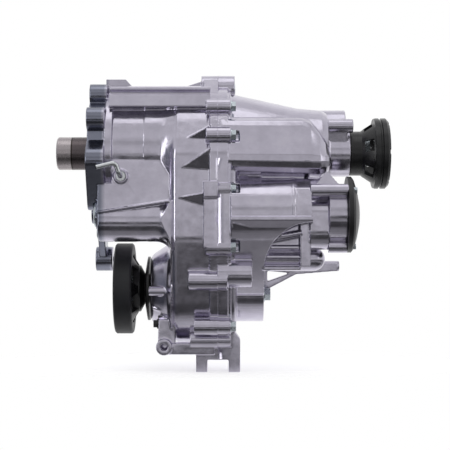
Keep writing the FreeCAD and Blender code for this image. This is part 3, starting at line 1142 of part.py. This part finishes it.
def range_sleeve():
    x0, x1 = SLEEVE_X
    bore = SPLINE_R - 2.5 + 2 * CLEAR
    land = straight_teeth(SPLINE_TEETH, SLEEVE_FLANGE_R, SLEEVE_R, 0.45, 0.55)
    forms = [disc_x(SLEEVE_R, x0, x1), prism_x(land, x0, x0 + 8), disc_x(SLEEVE_FLANGE_R, GROOVE_X[0] - 3, GROOVE_X[0]),
             disc_x(SLEEVE_FLANGE_R, GROOVE_X[1], x1)]
    grip = straight_teeth(SPLINE_TEETH, SPLINE_R + CLEAR, bore, 0.52, 0.6)
    return joined(forms).cut(prism_x(grip, x0 - 1, x1 + 1))


def toward_main(distance):
    """Point on the line from the selector shaft to the main line."""
    share = distance / SELECTOR_A
    return SELECTOR_Y * (1 - share), SELECTOR_Z * (1 - share)


def shift_fork():
    """Fork on the selector shaft, with its pads in the sleeve's groove and its pin in the drum."""
    x0, x1 = GROOVE_X[0] + CLEAR, GROOVE_X[1] - CLEAR
    y, z = SELECTOR
    mesh = math.degrees(math.atan2(z, y))
    pads = tube_x(46.0, SLEEVE_R + CLEAR, x0, x1)
    open_half = turned(block(x0 - 1, x1 + 1, -80, 8, -80, 80), mesh)
    arm = turned(block(x0, x1, 42, SELECTOR_A - 8, -9, 9), mesh)
    boss = disc_x(DRUM_R + 1, DRUM_X[1] + 2, x1 + 3, y, z)
    finger = turned(block(PIN_X - 4, x1 - 1, SELECTOR_A - DRUM_R - 7, SELECTOR_A - DRUM_R - 2, -5, 5), mesh)
    inner = toward_main(SELECTOR_R + 1.2)
    outer = toward_main(DRUM_R + 4)
    pin = Part.makeCylinder(PIN_R, DRUM_R + 4 - SELECTOR_R - 1.2, Vector(PIN_X, *inner),
                            Vector(0, outer[0] - inner[0], outer[1] - inner[1]))
    fork = joined([pads.cut(open_half), arm, boss, finger, pin])
    return fork.cut(disc_x(SELECTOR_R + RUN_GAP, DRUM_X[1], x1 + 5, y, z))


def shift_drum():
    """Cam drum whose groove carries the fork pin along as the drum turns."""
    y, z = SELECTOR
    drum = tube_x(DRUM_R, SELECTOR_R + SEAT_GAP, *DRUM_X, y, z)
    steps = 12
    start = toward_main(SELECTOR_R + 0.8)
    end = toward_main(DRUM_R + 5)
    cutter = Part.makeCylinder(PIN_R + 0.8, DRUM_R + 4.2 - SELECTOR_R, Vector(PIN_X, *start),
                               Vector(0, end[0] - start[0], end[1] - start[1]))
    cuts = []
    for i in range(-1, steps + 2):
        step = turned(cutter, -SELECTOR_TURN * i / steps, y, z)
        step.translate(Vector(SHIFT_TRAVEL * i / steps, 0, 0))
        cuts.append(step)
    return drum.cut(cuts)


def selector_pinion():
    tip = SECTOR_MODULE * (PINION_TEETH / 2 + ADDENDUM)
    root = SECTOR_MODULE * (PINION_TEETH / 2 - DEDENDUM)
    mesh = math.atan2(-SELECTOR_Z, -SELECTOR_Y)
    outline = gear_outline(PINION_TEETH, SECTOR_MODULE, tip, root, BACKLASH, mesh + math.pi / PINION_TEETH)
    return prism_x(moved(outline, *SELECTOR), *PINION_X).cut(disc_x(SELECTOR_R + SEAT_GAP, PINION_X[0] - 1, PINION_X[1] + 1, *SELECTOR))


def ball_ramp_ring():
    """Ring with ball pockets and the toothed sector that the selector pinion turns."""
    pitch = 360.0 / SECTOR_TEETH
    mesh = math.atan2(SELECTOR_Z, SELECTOR_Y)
    tip = SECTOR_MODULE * (SECTOR_TEETH / 2 + ADDENDUM)
    root = SECTOR_MODULE * (SECTOR_TEETH / 2 - DEDENDUM)
    wheel = prism_x(gear_outline(SECTOR_TEETH, SECTOR_MODULE, tip, root, BACKLASH, mesh), *SECTOR_X)
    turn = SELECTOR_TURN * PINION_TEETH / SECTOR_TEETH
    start, end = math.degrees(mesh) - 0.5 * pitch, math.degrees(mesh) + turn + 0.5 * pitch
    rays = [(150 * math.cos(math.radians(a)), 150 * math.sin(math.radians(a))) for a in (start, end)]
    sector = wheel.common(prism_x([(0.0, 0.0)] + rays, 200, 250))
    ring = disc_x(RAMP_R, *SECTOR_X)
    reach = RAMP_BALL_R + CLEAR
    race = tube_x(RAMP_BALL_AT + reach, RAMP_BALL_AT - reach, SECTOR_X[0] - 1, SECTOR_X[0] + 1.7)
    return joined([ring, sector]).cut([disc_x(RAMP_BORE_R + RUN_GAP, 200, 250), race])


def pressure_plate():
    x0, x1 = PRESSURE_X
    pockets = [disc_x(RAMP_BALL_R + SEAT_GAP, x1 - 1.6, x1 + 1, *at) for at in ring_of(RAMP_BALLS, RAMP_BALL_AT, 30)]
    return disc_x(CLUTCH_R - 5, x0, x1).cut([disc_x(RAMP_BORE_R + RUN_GAP, x0 - 1, x1 + 1)] + pockets)


def ramp_balls():
    centre = PRESSURE_X[1] - 1.6 + RAMP_BALL_R
    return Part.makeCompound([Part.makeSphere(RAMP_BALL_R, Vector(centre, *at))
                              for at in ring_of(RAMP_BALLS, RAMP_BALL_AT, 30)])


nodes["range_sleeve"] = range_sleeve()
nodes["shift_fork"] = shift_fork()
nodes["selector_shaft"] = disc_x(SELECTOR_R, *SELECTOR_X, *SELECTOR)
nodes["shift_drum"] = shift_drum()
nodes["selector_pinion"] = selector_pinion()
nodes["ball_ramp_ring"] = ball_ramp_ring()
nodes["pressure_plate"] = pressure_plate()
nodes["ramp_balls"] = ramp_balls()

for name, shape in nodes.items():
    shape.exportStep("parts/" + name + ".step")
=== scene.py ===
import json
import math

import bmesh
import bpy
import numpy as np
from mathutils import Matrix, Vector


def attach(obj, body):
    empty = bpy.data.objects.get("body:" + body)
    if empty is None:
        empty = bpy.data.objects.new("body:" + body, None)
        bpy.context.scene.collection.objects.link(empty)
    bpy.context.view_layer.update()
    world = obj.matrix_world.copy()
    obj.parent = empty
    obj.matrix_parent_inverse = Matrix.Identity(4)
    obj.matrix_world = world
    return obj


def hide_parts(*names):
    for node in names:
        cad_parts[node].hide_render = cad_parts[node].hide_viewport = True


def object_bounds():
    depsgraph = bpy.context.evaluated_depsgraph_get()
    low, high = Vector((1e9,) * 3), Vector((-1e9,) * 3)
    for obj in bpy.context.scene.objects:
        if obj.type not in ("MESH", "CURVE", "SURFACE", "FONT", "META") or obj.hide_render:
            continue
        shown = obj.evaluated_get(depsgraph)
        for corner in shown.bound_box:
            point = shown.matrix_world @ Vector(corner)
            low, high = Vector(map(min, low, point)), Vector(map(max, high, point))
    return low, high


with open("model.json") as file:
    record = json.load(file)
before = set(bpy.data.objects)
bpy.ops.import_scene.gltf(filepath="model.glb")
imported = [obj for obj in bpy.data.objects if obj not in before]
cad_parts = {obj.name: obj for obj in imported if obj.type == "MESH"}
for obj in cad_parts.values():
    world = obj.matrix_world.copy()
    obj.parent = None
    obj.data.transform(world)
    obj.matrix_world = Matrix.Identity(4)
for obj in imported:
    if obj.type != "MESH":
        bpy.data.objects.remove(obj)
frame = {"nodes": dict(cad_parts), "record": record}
cad_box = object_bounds()
nodes = frame["nodes"]
collection = bpy.context.scene.collection


# Castings

PARTING_X = 0.182           # machined face between the two castings
SAME_PLACE = 1e-5           # corners closer than this are one corner
ON_PARTING = 1e-6
PAST_JOINT = 0.0004         # how far each joint face goes into the other casting
GRID = 0.001                # spacing of the new surface's points
RELAX_SHARE = 0.5
RELAX_ROUNDS = 5
CRISP_BAND = 0.001          # left as machined on both sides of the joint, then softer step by step
SOFT_STEP = 0.001
SOFT_STEPS = 6
MOST_TRIANGLES = 190000


def evaluated_copy(piece):
    return bpy.data.meshes.new_from_object(piece.evaluated_get(bpy.context.evaluated_depsgraph_get()))


def merged_shell(node, past_joint):
    """The casting's CAD mesh as one closed shell, with its joint face moved along the main line."""
    mesh = nodes[node].data.copy()
    shell = bmesh.new()
    shell.from_mesh(mesh)
    bmesh.ops.remove_doubles(shell, verts=shell.verts, dist=SAME_PLACE)
    for vertex in shell.verts:
        if abs(vertex.co.x - PARTING_X) < ON_PARTING:
            vertex.co.x += past_joint
    shell.to_mesh(mesh)
    shell.free()
    return mesh


def mark_rough_cast(piece):
    """A vertex group that is nothing at the machined joint and grows in even steps away from it."""
    mesh = piece.data
    places = np.empty(3 * len(mesh.vertices))
    mesh.vertices.foreach_get("co", places)
    from_joint = np.abs(places[0::3] - PARTING_X) - CRISP_BAND
    softness = np.clip(np.ceil(from_joint / SOFT_STEP), 0, SOFT_STEPS)
    group = piece.vertex_groups.new(name="rough_cast")
    for step in range(1, SOFT_STEPS + 1):
        group.add(np.flatnonzero(softness == step).tolist(), step / SOFT_STEPS, "REPLACE")
    return group.name


def cast_skin(node, past_joint):
    """The casting's own surface with the rounded edges that a mould leaves: laid anew on a fine grid,
    each point moved part of the way to its neighbours' average, a few times over, and thinned where
    it is flat. The joint face goes a little way into the other casting, so that only a fine line
    parts the two."""
    piece = bpy.data.objects.new(node + "_casting", merged_shell(node, past_joint))
    collection.objects.link(piece)
    grid = piece.modifiers.new("grid", "REMESH")
    grid.mode = "VOXEL"
    grid.voxel_size = GRID
    fine = evaluated_copy(piece)
    piece.modifiers.clear()
    piece.data = fine
    relax = piece.modifiers.new("relax", "SMOOTH")
    relax.factor = RELAX_SHARE
    relax.iterations = RELAX_ROUNDS
    relax.vertex_group = mark_rough_cast(piece)
    thin = piece.modifiers.new("thin", "DECIMATE")
    thin.ratio = min(1.0, MOST_TRIANGLES / (2 * len(fine.polygons)))
    final = evaluated_copy(piece)
    piece.modifiers.clear()
    piece.vertex_groups.clear()
    piece.data = final
    final.shade_smooth()
    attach(piece, "case")
    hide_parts(node)
    return piece


front_casting = cast_skin("front_case", PAST_JOINT)
rear_casting = cast_skin("rear_case", -PAST_JOINT)


# Parts of a material

def finish_nodes(name, colour, metallic, roughness):
    """A material with its shader, its node tree and the object coordinates."""
    material = bpy.data.materials.new(name)
    material.use_nodes = True
    tree = material.node_tree
    shader = tree.nodes["Principled BSDF"]
    shader.inputs["Base Color"].default_value = (*colour, 1)
    shader.inputs["Metallic"].default_value = metallic
    shader.inputs["Roughness"].default_value = roughness
    place = tree.nodes.new("ShaderNodeTexCoord").outputs["Object"]
    return material, tree, shader, place


def noise(tree, place, scale, detail=2.0, roughness=0.5):
    node = tree.nodes.new("ShaderNodeTexNoise")
    node.inputs["Scale"].default_value = scale
    node.inputs["Detail"].default_value = detail
    node.inputs["Roughness"].default_value = roughness
    tree.links.new(place, node.inputs["Vector"])
    return node.outputs["Fac"]


def spread(tree, value, low, high, start=0.3, end=0.7):
    """A value between start and end, carried over to the range from low to high. Noise lies mostly
    between 0.3 and 0.7."""
    node = tree.nodes.new("ShaderNodeMapRange")
    node.inputs["From Min"].default_value = start
    node.inputs["From Max"].default_value = end
    node.inputs["To Min"].default_value = low
    node.inputs["To Max"].default_value = high
    tree.links.new(value, node.inputs["Value"])
    return node.outputs["Result"]


def tones(tree, value, stops):
    """Colours that run into each other, each at its place between 0 and 1."""
    node = tree.nodes.new("ShaderNodeValToRGB")
    ramp = node.color_ramp
    while len(ramp.elements) < len(stops):
        ramp.elements.new(0.5)
    for element, (position, colour) in zip(ramp.elements, stops):
        element.position = position
        element.color = (*colour, 1)
    tree.links.new(value, node.inputs["Fac"])
    return node.outputs["Color"]


def blend(tree, share, a, b):
    mix = tree.nodes.new("ShaderNodeMix")
    mix.data_type = "RGBA"
    tree.links.new(share, mix.inputs["Factor"])
    tree.links.new(a, mix.inputs["A"])
    tree.links.new(b, mix.inputs["B"])
    return mix.outputs["Result"]


def calculate(tree, operation, a, b):
    node = tree.nodes.new("ShaderNodeMath")
    node.operation = operation
    tree.links.new(a, node.inputs[0])
    tree.links.new(b, node.inputs[1])
    return node.outputs["Value"]


def axes(tree, vector):
    node = tree.nodes.new("ShaderNodeSeparateXYZ")
    tree.links.new(vector, node.inputs["Vector"])
    return node.outputs


def bumps(tree, shader, layers):
    """Relief from several heights, each with its depth in metres."""
    normal = None
    for height, depth in layers:
        node = tree.nodes.new("ShaderNodeBump")
        node.inputs["Strength"].default_value = 1.0
        node.inputs["Distance"].default_value = depth
        tree.links.new(height, node.inputs["Height"])
        if normal is not None:
            tree.links.new(normal, node.inputs["Normal"])
        normal = node.outputs["Normal"]
    tree.links.new(normal, shader.inputs["Normal"])


def turning_marks(tree, place, pitch):
    """Fine rings round the X axis, one every pitch metres."""
    wave = tree.nodes.new("ShaderNodeTexWave")
    wave.wave_type = "BANDS"
    wave.bands_direction = "X"
    wave.inputs["Scale"].default_value = 1.0 / (20.0 * pitch)
    wave.inputs["Distortion"].default_value = 0.4
    tree.links.new(place, wave.inputs["Vector"])
    return wave.outputs["Fac"]


def times(factor, colour):
    return tuple(factor * c for c in colour)


# Finishes

ALUMINIUM = (0.60, 0.572, 0.665)
ALUMINIUM_DARK = (0.54, 0.515, 0.60)
ALUMINIUM_LIGHT = (0.65, 0.625, 0.71)
SLATE = (0.24, 0.25, 0.31, 1)
RIM_X = (0.020, 0.027)      # the slate of the gearbox flange's rim ends between these

SLEEVE_BRIGHT = (0.44, 0.40, 0.41)
SLEEVE_LINE = (0.03, 0.025, 0.02)
SLEEVE_BROWN = (0.135, 0.115, 0.12)
SLEEVE_X = (-0.05, 0.05)
LINE_X = (-0.0295, -0.0288, -0.0278, -0.0270)    # the dark line's edges, with their blends


def cast_aluminium():
    """Bright lilac-grey die casting: a fine grain, soft unevenness and faint darker clouds. Towards the
    gearbox flange's rim, at the low X end, the colour turns to a darker slate."""
    material, tree, shader, place = finish_nodes("cast_aluminium_finish", ALUMINIUM, 1.0, 0.3)
    clouds = noise(tree, place, 34.0, 4.0, 0.6)
    colour = tones(tree, clouds, [(0.30, ALUMINIUM_DARK), (0.55, ALUMINIUM), (0.75, ALUMINIUM_LIGHT)])
    rim = spread(tree, axes(tree, place)["X"], 1.0, 0.0, *RIM_X)
    slate = tree.nodes.new("ShaderNodeRGB")
    slate.outputs["Color"].default_value = SLATE
    tree.links.new(blend(tree, rim, colour, slate.outputs["Color"]), shader.inputs["Base Color"])
    tree.links.new(spread(tree, noise(tree, place, 90.0, 3.0), 0.15, 0.26), shader.inputs["Roughness"])
    unevenness = noise(tree, place, 60.0, 2.0)
    grain = noise(tree, place, 700.0, 2.0, 0.6)
    bumps(tree, shader, [(unevenness, 0.00018), (grain, 0.000012)])
    return material


def plated_steel(name, colour, roughness):
    """Zinc plating with a faint mottle."""
    material, tree, shader, place = finish_nodes(name, colour, 1.0, roughness)
    mottle = noise(tree, place, 400.0, 3.0)
    mottled = tones(tree, mottle, [(0.35, times(0.82, colour)), (0.65, colour)])
    tree.links.new(mottled, shader.inputs["Base Color"])
    tree.links.new(spread(tree, mottle, roughness * 0.8, roughness * 1.3), shader.inputs["Roughness"])
    bumps(tree, shader, [(noise(tree, place, 1500.0, 2.0), 0.00002)])
    return material


def input_sleeve_steel():
    """Ground steel towards the open end, brown heat-treated steel behind the seat, with a dark line
    between."""
    material, tree, shader, place = finish_nodes("input_sleeve_steel", SLEEVE_BRIGHT, 1.0, 0.28)
    along = spread(tree, axes(tree, place)["X"], 0.0, 1.0, *SLEEVE_X)
    shares = [(x - SLEEVE_X[0]) / (SLEEVE_X[1] - SLEEVE_X[0]) for x in LINE_X]
    colours = [SLEEVE_BRIGHT, SLEEVE_LINE, SLEEVE_LINE, SLEEVE_BROWN]
    stops = [(0.0, SLEEVE_BRIGHT), *zip(shares, colours), (1.0, SLEEVE_BROWN)]
    tree.links.new(tones(tree, along, stops), shader.inputs["Base Color"])
    tree.links.new(spread(tree, noise(tree, place, 260.0, 2.0), 0.24, 0.36), shader.inputs["Roughness"])
    bumps(tree, shader, [(turning_marks(tree, place, 0.0006), 0.00001)])
    return material


def machined_steel(name, colour, roughness):
    """Ground and oiled steel with fine turning rings."""
    material, tree, shader, place = finish_nodes(name, colour, 1.0, roughness)
    film = noise(tree, place, 70.0, 3.0)
    oiled = tones(tree, film, [(0.35, times(0.75, colour)), (0.65, colour)])
    tree.links.new(oiled, shader.inputs["Base Color"])
    tree.links.new(spread(tree, film, roughness * 0.8, roughness * 1.2), shader.inputs["Roughness"])
    bumps(tree, shader, [(turning_marks(tree, place, 0.0008), 0.000008)])
    return material


def black_coating(name, colour, roughness, grain_depth):
    """Satin black coating over turned steel, a little dusty on the outside."""
    material, tree, shader, place = finish_nodes(name, colour, 0.0, roughness)
    dust = noise(tree, place, 60.0, 4.0, 0.6)
    dusty = tones(tree, dust, [(0.45, colour), (0.8, times(2.2, colour))])
    tree.links.new(dusty, shader.inputs["Base Color"])
    tree.links.new(spread(tree, dust, roughness * 0.85, roughness * 1.2), shader.inputs["Roughness"])
    grain = noise(tree, place, 1100.0, 2.0)
    bumps(tree, shader, [(grain, grain_depth), (turning_marks(tree, place, 0.0007), 0.000006)])
    return material


def moulded_black(name, colour, roughness):
    """Black rubber or plastic with a fine moulded grain."""
    material, tree, shader, place = finish_nodes(name, colour, 0.0, roughness)
    grain = noise(tree, place, 1600.0, 2.0)
    tree.links.new(spread(tree, grain, roughness * 0.9, roughness * 1.15), shader.inputs["Roughness"])
    wear = noise(tree, place, 45.0, 3.0)
    worn = tones(tree, wear, [(0.4, colour), (0.75, times(1.8, colour))])
    tree.links.new(worn, shader.inputs["Base Color"])
    bumps(tree, shader, [(grain, 0.00003)])
    return material


def friction_lining():
    """Brown paper lining of the clutch plates."""
    material, tree, shader, place = finish_nodes("friction_lining_paper", (0.22, 0.15, 0.09), 0.0, 0.8)
    fibre = noise(tree, place, 900.0, 4.0, 0.7)
    browns = [(0.35, (0.14, 0.09, 0.05)), (0.65, (0.27, 0.19, 0.11))]
    tree.links.new(tones(tree, fibre, browns), shader.inputs["Base Color"])
    bumps(tree, shader, [(fibre, 0.00006)])
    return material


def dress(piece, material):
    piece.data.materials.clear()
    piece.data.materials.append(material)


finishes = {
    "cast_aluminium": cast_aluminium(),
    "zinc_steel": plated_steel("zinc_plated_steel", (0.60, 0.66, 0.70), 0.26),
    "gear_steel": machined_steel("oiled_gear_steel", (0.40, 0.39, 0.40), 0.28),
    "bearing_steel": machined_steel("polished_bearing_steel", (0.62, 0.62, 0.63), 0.16),
    "turned_steel": input_sleeve_steel(),
    "black_steel": black_coating("satin_black_coating", (0.010, 0.010, 0.011), 0.30, 0.00002),
    "seal_rubber": moulded_black("seal_rubber", (0.014, 0.014, 0.015), 0.6),
    "black_plastic": moulded_black("port_cap_plastic", (0.012, 0.012, 0.013), 0.38),
    "friction_lining": friction_lining(),
}
for subpart in frame["record"]["subparts"]:
    dress(nodes[subpart["node"]], finishes[subpart["material_slot"]])
dress(front_casting, finishes["cast_aluminium"])
dress(rear_casting, finishes["cast_aluminium"])
dress(nodes["breather"], plated_steel("breather_plating", (0.74, 0.76, 0.78), 0.14))
dress(nodes["damper_ring"], moulded_black("damper_ring_coating", (0.009, 0.0095, 0.012), 0.48))


# Studio

def grey(value):
    """A grey with a touch of blue."""
    return (0.985 * value, 0.985 * value, value)


# What the metal sees of the room, by height: 0 is straight down, 0.5 level, 1 straight up. On the
# camera's side a low pale band lights the faces that lean down, and bright panels hang above.
FRONT_WALL = [
    (0.0, grey(0.25)), (0.07, grey(0.22)), (0.12, grey(0.05)), (0.24, grey(0.06)), (0.27, grey(0.07)),
    (0.295, grey(0.48)), (0.345, grey(0.25)), (0.38, grey(0.06)), (0.445, grey(0.08)),
    (0.47, grey(0.67)), (0.60, grey(0.58)), (0.68, grey(0.37)), (0.74, grey(0.70)), (1.0, grey(0.56)),
]
LEFT_WALL = [
    (0.0, grey(0.35)), (0.12, (0.035, 0.037, 0.045)), (0.46, (0.05, 0.053, 0.066)),
    (0.50, (0.14, 0.15, 0.18)), (0.72, (0.20, 0.21, 0.24)), (0.80, grey(0.75)), (1.0, grey(0.75)),
]
FAR_WALL = [(0.0, grey(0.5)), (0.40, grey(0.35)), (0.47, grey(0.8)), (1.0, grey(0.8))]
LEFT_FROM = (-0.45, -0.85)  # the front wall gives way to the left one between these X of the direction
FAR_FROM = (-0.1, 0.5)      # and both to the far wall between these Y
BACKDROP_FROM = (0.55, 0.75)

MIDDLE = (0.19, 0.0, -0.1)  # what the lamps point at
CAMERA_AWAY = 1.8
CAMERA_X = 0.192
CAMERA_Z = -0.1035
SEEN_WIDTH = 0.6525         # of the main shaft's plane
SENSOR = 36.0               # mm

FLOOR_BELOW = 0.0005
FLOOR_MIDDLE = (0.19, 0.06)
FLOOR_REACH = (0.42, 0.20)
FLOOR_RINGS = 16
FLOOR_SPOKES = 64
FLOOR_GLOW = 0.5
FLOOR_FADE = (0.35, 0.95)   # shares of the reach


def backdrop_rays(tree):
    """1 for the camera's rays, and 1 for the rays that metal or glass sends on."""
    path = tree.nodes.new("ShaderNodeLightPath")
    sent_on = calculate(tree, "ADD", path.outputs["Is Glossy Ray"], path.outputs["Is Transmission Ray"])
    return path.outputs["Is Camera Ray"], sent_on


def studio_world():
    """White backdrop all round for the camera, which metal and glass see behind the object. They see a dim
    room in front of it, by height: bright panels above, grey walls, dark below the table's edge with one
    pale band, and darker slate on the left."""
    world = bpy.data.worlds.new("studio")
    bpy.context.scene.world = world
    world.use_nodes = True
    tree = world.node_tree
    tree.nodes.clear()
    direction = axes(tree, tree.nodes.new("ShaderNodeTexCoord").outputs["Generated"])
    height = spread(tree, direction["Z"], 0.0, 1.0, -1.0, 1.0)
    front = tones(tree, height, FRONT_WALL)
    left = tones(tree, height, LEFT_WALL)
    far = tones(tree, height, FAR_WALL)
    room = blend(tree, spread(tree, direction["X"], 0.0, 1.0, *LEFT_FROM), front, left)
    room = blend(tree, spread(tree, direction["Y"], 0.0, 1.0, *FAR_FROM), room, far)
    surround = tree.nodes.new("ShaderNodeBackground")
    tree.links.new(room, surround.inputs["Color"])
    white = tree.nodes.new("ShaderNodeBackground")
    white.inputs["Color"].default_value = (1, 1, 1, 1)
    camera, sent_on = backdrop_rays(tree)
    backdrop = spread(tree, direction["Y"], 0.0, 1.0, *BACKDROP_FROM)
    seen = calculate(tree, "ADD", camera, calculate(tree, "MULTIPLY", sent_on, backdrop))
    choice = tree.nodes.new("ShaderNodeMixShader")
    tree.links.new(seen, choice.inputs["Fac"])
    tree.links.new(surround.outputs["Background"], choice.inputs[1])
    tree.links.new(white.outputs["Background"], choice.inputs[2])
    output = tree.nodes.new("ShaderNodeOutputWorld")
    tree.links.new(choice.outputs["Shader"], output.inputs["Surface"])


def softbox(name, place, size, power):
    """Rectangular lamp that points at the object's middle."""
    lamp = bpy.data.lights.new(name, "AREA")
    lamp.shape = "RECTANGLE"
    lamp.size, lamp.size_y = size
    lamp.energy = power
    rig = bpy.data.objects.new(name, lamp)
    rig.location = place
    rig.rotation_euler = (Vector(MIDDLE) - Vector(place)).to_track_quat("-Z", "Y").to_euler()
    collection.objects.link(rig)


def oval_sheet(height):
    """Flat oval of rings and spokes: each point is the middle plus the reach times the ring's share,
    turned by the spoke's angle."""
    r = np.linspace(0.0, 1.0, FLOOR_RINGS)[1:]
    a = np.linspace(0.0, 2 * np.pi, FLOOR_SPOKES, endpoint=False)
    x = FLOOR_MIDDLE[0] + FLOOR_REACH[0] * r[:, None] * np.cos(a)
    y = FLOOR_MIDDLE[1] + FLOOR_REACH[1] * r[:, None] * np.sin(a)
    grid = np.stack(np.broadcast_arrays(x, y, height), -1)
    points = np.concatenate([[[*FLOOR_MIDDLE, height]], grid.reshape(-1, 3)])
    faces = [(0, 1 + j, 1 + (j + 1) % FLOOR_SPOKES) for j in range(FLOOR_SPOKES)]
    for i in range(FLOOR_RINGS - 2):
        row = 1 + i * FLOOR_SPOKES
        for j in range(FLOOR_SPOKES):
            k = (j + 1) % FLOOR_SPOKES
            faces.append((row + j, row + FLOOR_SPOKES + j, row + FLOOR_SPOKES + k, row + k))
    mesh = bpy.data.meshes.new("floor")
    mesh.from_pydata(points.tolist(), [], faces)
    return mesh


def floor_paper(height):
    """Matt white paper that glows a little for the camera and the metal, and fades out towards the
    floor's rim."""
    material, tree, shader, place = finish_nodes("floor_paper", (0.86, 0.86, 0.87), 0.0, 0.9)
    offset = tree.nodes.new("ShaderNodeVectorMath")
    offset.operation = "SUBTRACT"
    offset.inputs[1].default_value = (*FLOOR_MIDDLE, height)
    tree.links.new(place, offset.inputs[0])
    share = tree.nodes.new("ShaderNodeVectorMath")
    share.operation = "DIVIDE"
    share.inputs[1].default_value = (*FLOOR_REACH, 1.0)
    tree.links.new(offset.outputs["Vector"], share.inputs[0])
    out = tree.nodes.new("ShaderNodeVectorMath")
    out.operation = "LENGTH"
    tree.links.new(share.outputs["Vector"], out.inputs[0])
    shader.inputs["Emission Color"].default_value = (1, 1, 1, 1)
    glow = tree.nodes.new("ShaderNodeMath")
    glow.operation = "MULTIPLY"
    glow.inputs[1].default_value = FLOOR_GLOW
    tree.links.new(calculate(tree, "ADD", *backdrop_rays(tree)), glow.inputs[0])
    tree.links.new(glow.outputs["Value"], shader.inputs["Emission Strength"])
    fade = tree.nodes.new("ShaderNodeMixShader")
    clear = tree.nodes.new("ShaderNodeBsdfTransparent")
    tree.links.new(spread(tree, out.outputs["Value"], 0.0, 1.0, *FLOOR_FADE), fade.inputs["Fac"])
    tree.links.new(shader.outputs["BSDF"], fade.inputs[1])
    tree.links.new(clear.outputs["BSDF"], fade.inputs[2])
    tree.links.new(fade.outputs["Shader"], tree.nodes["Material Output"].inputs["Surface"])
    return material


def pale_floor(height):
    floor = bpy.data.objects.new("floor", oval_sheet(height))
    collection.objects.link(floor)
    dress(floor, floor_paper(height))


def photo_camera():
    """Level camera on the near side, at the distance and height that the photograph's foreshortening
    gives."""
    lens = bpy.data.cameras.new("photo")
    lens.sensor_width = SENSOR
    lens.lens = SENSOR * CAMERA_AWAY / SEEN_WIDTH
    camera = bpy.data.objects.new("photo", lens)
    camera.location = (CAMERA_X, -CAMERA_AWAY, CAMERA_Z)
    camera.rotation_euler = (math.radians(90), 0, 0)
    collection.objects.link(camera)
    bpy.context.scene.camera = camera


studio_world()
softbox("overhead", (0.19, -0.25, 1.3), (1.2, 0.8), 2.1)
softbox("left_strip", (-0.95, -0.85, 0.1), (0.3, 1.3), 3.0)
softbox("upper_right", (1.4, -0.9, 0.5), (0.3, 1.0), 0.9)
pale_floor(cad_box[0][2] - FLOOR_BELOW)
photo_camera()
bpy.context.scene.view_settings.view_transform = "Standard"
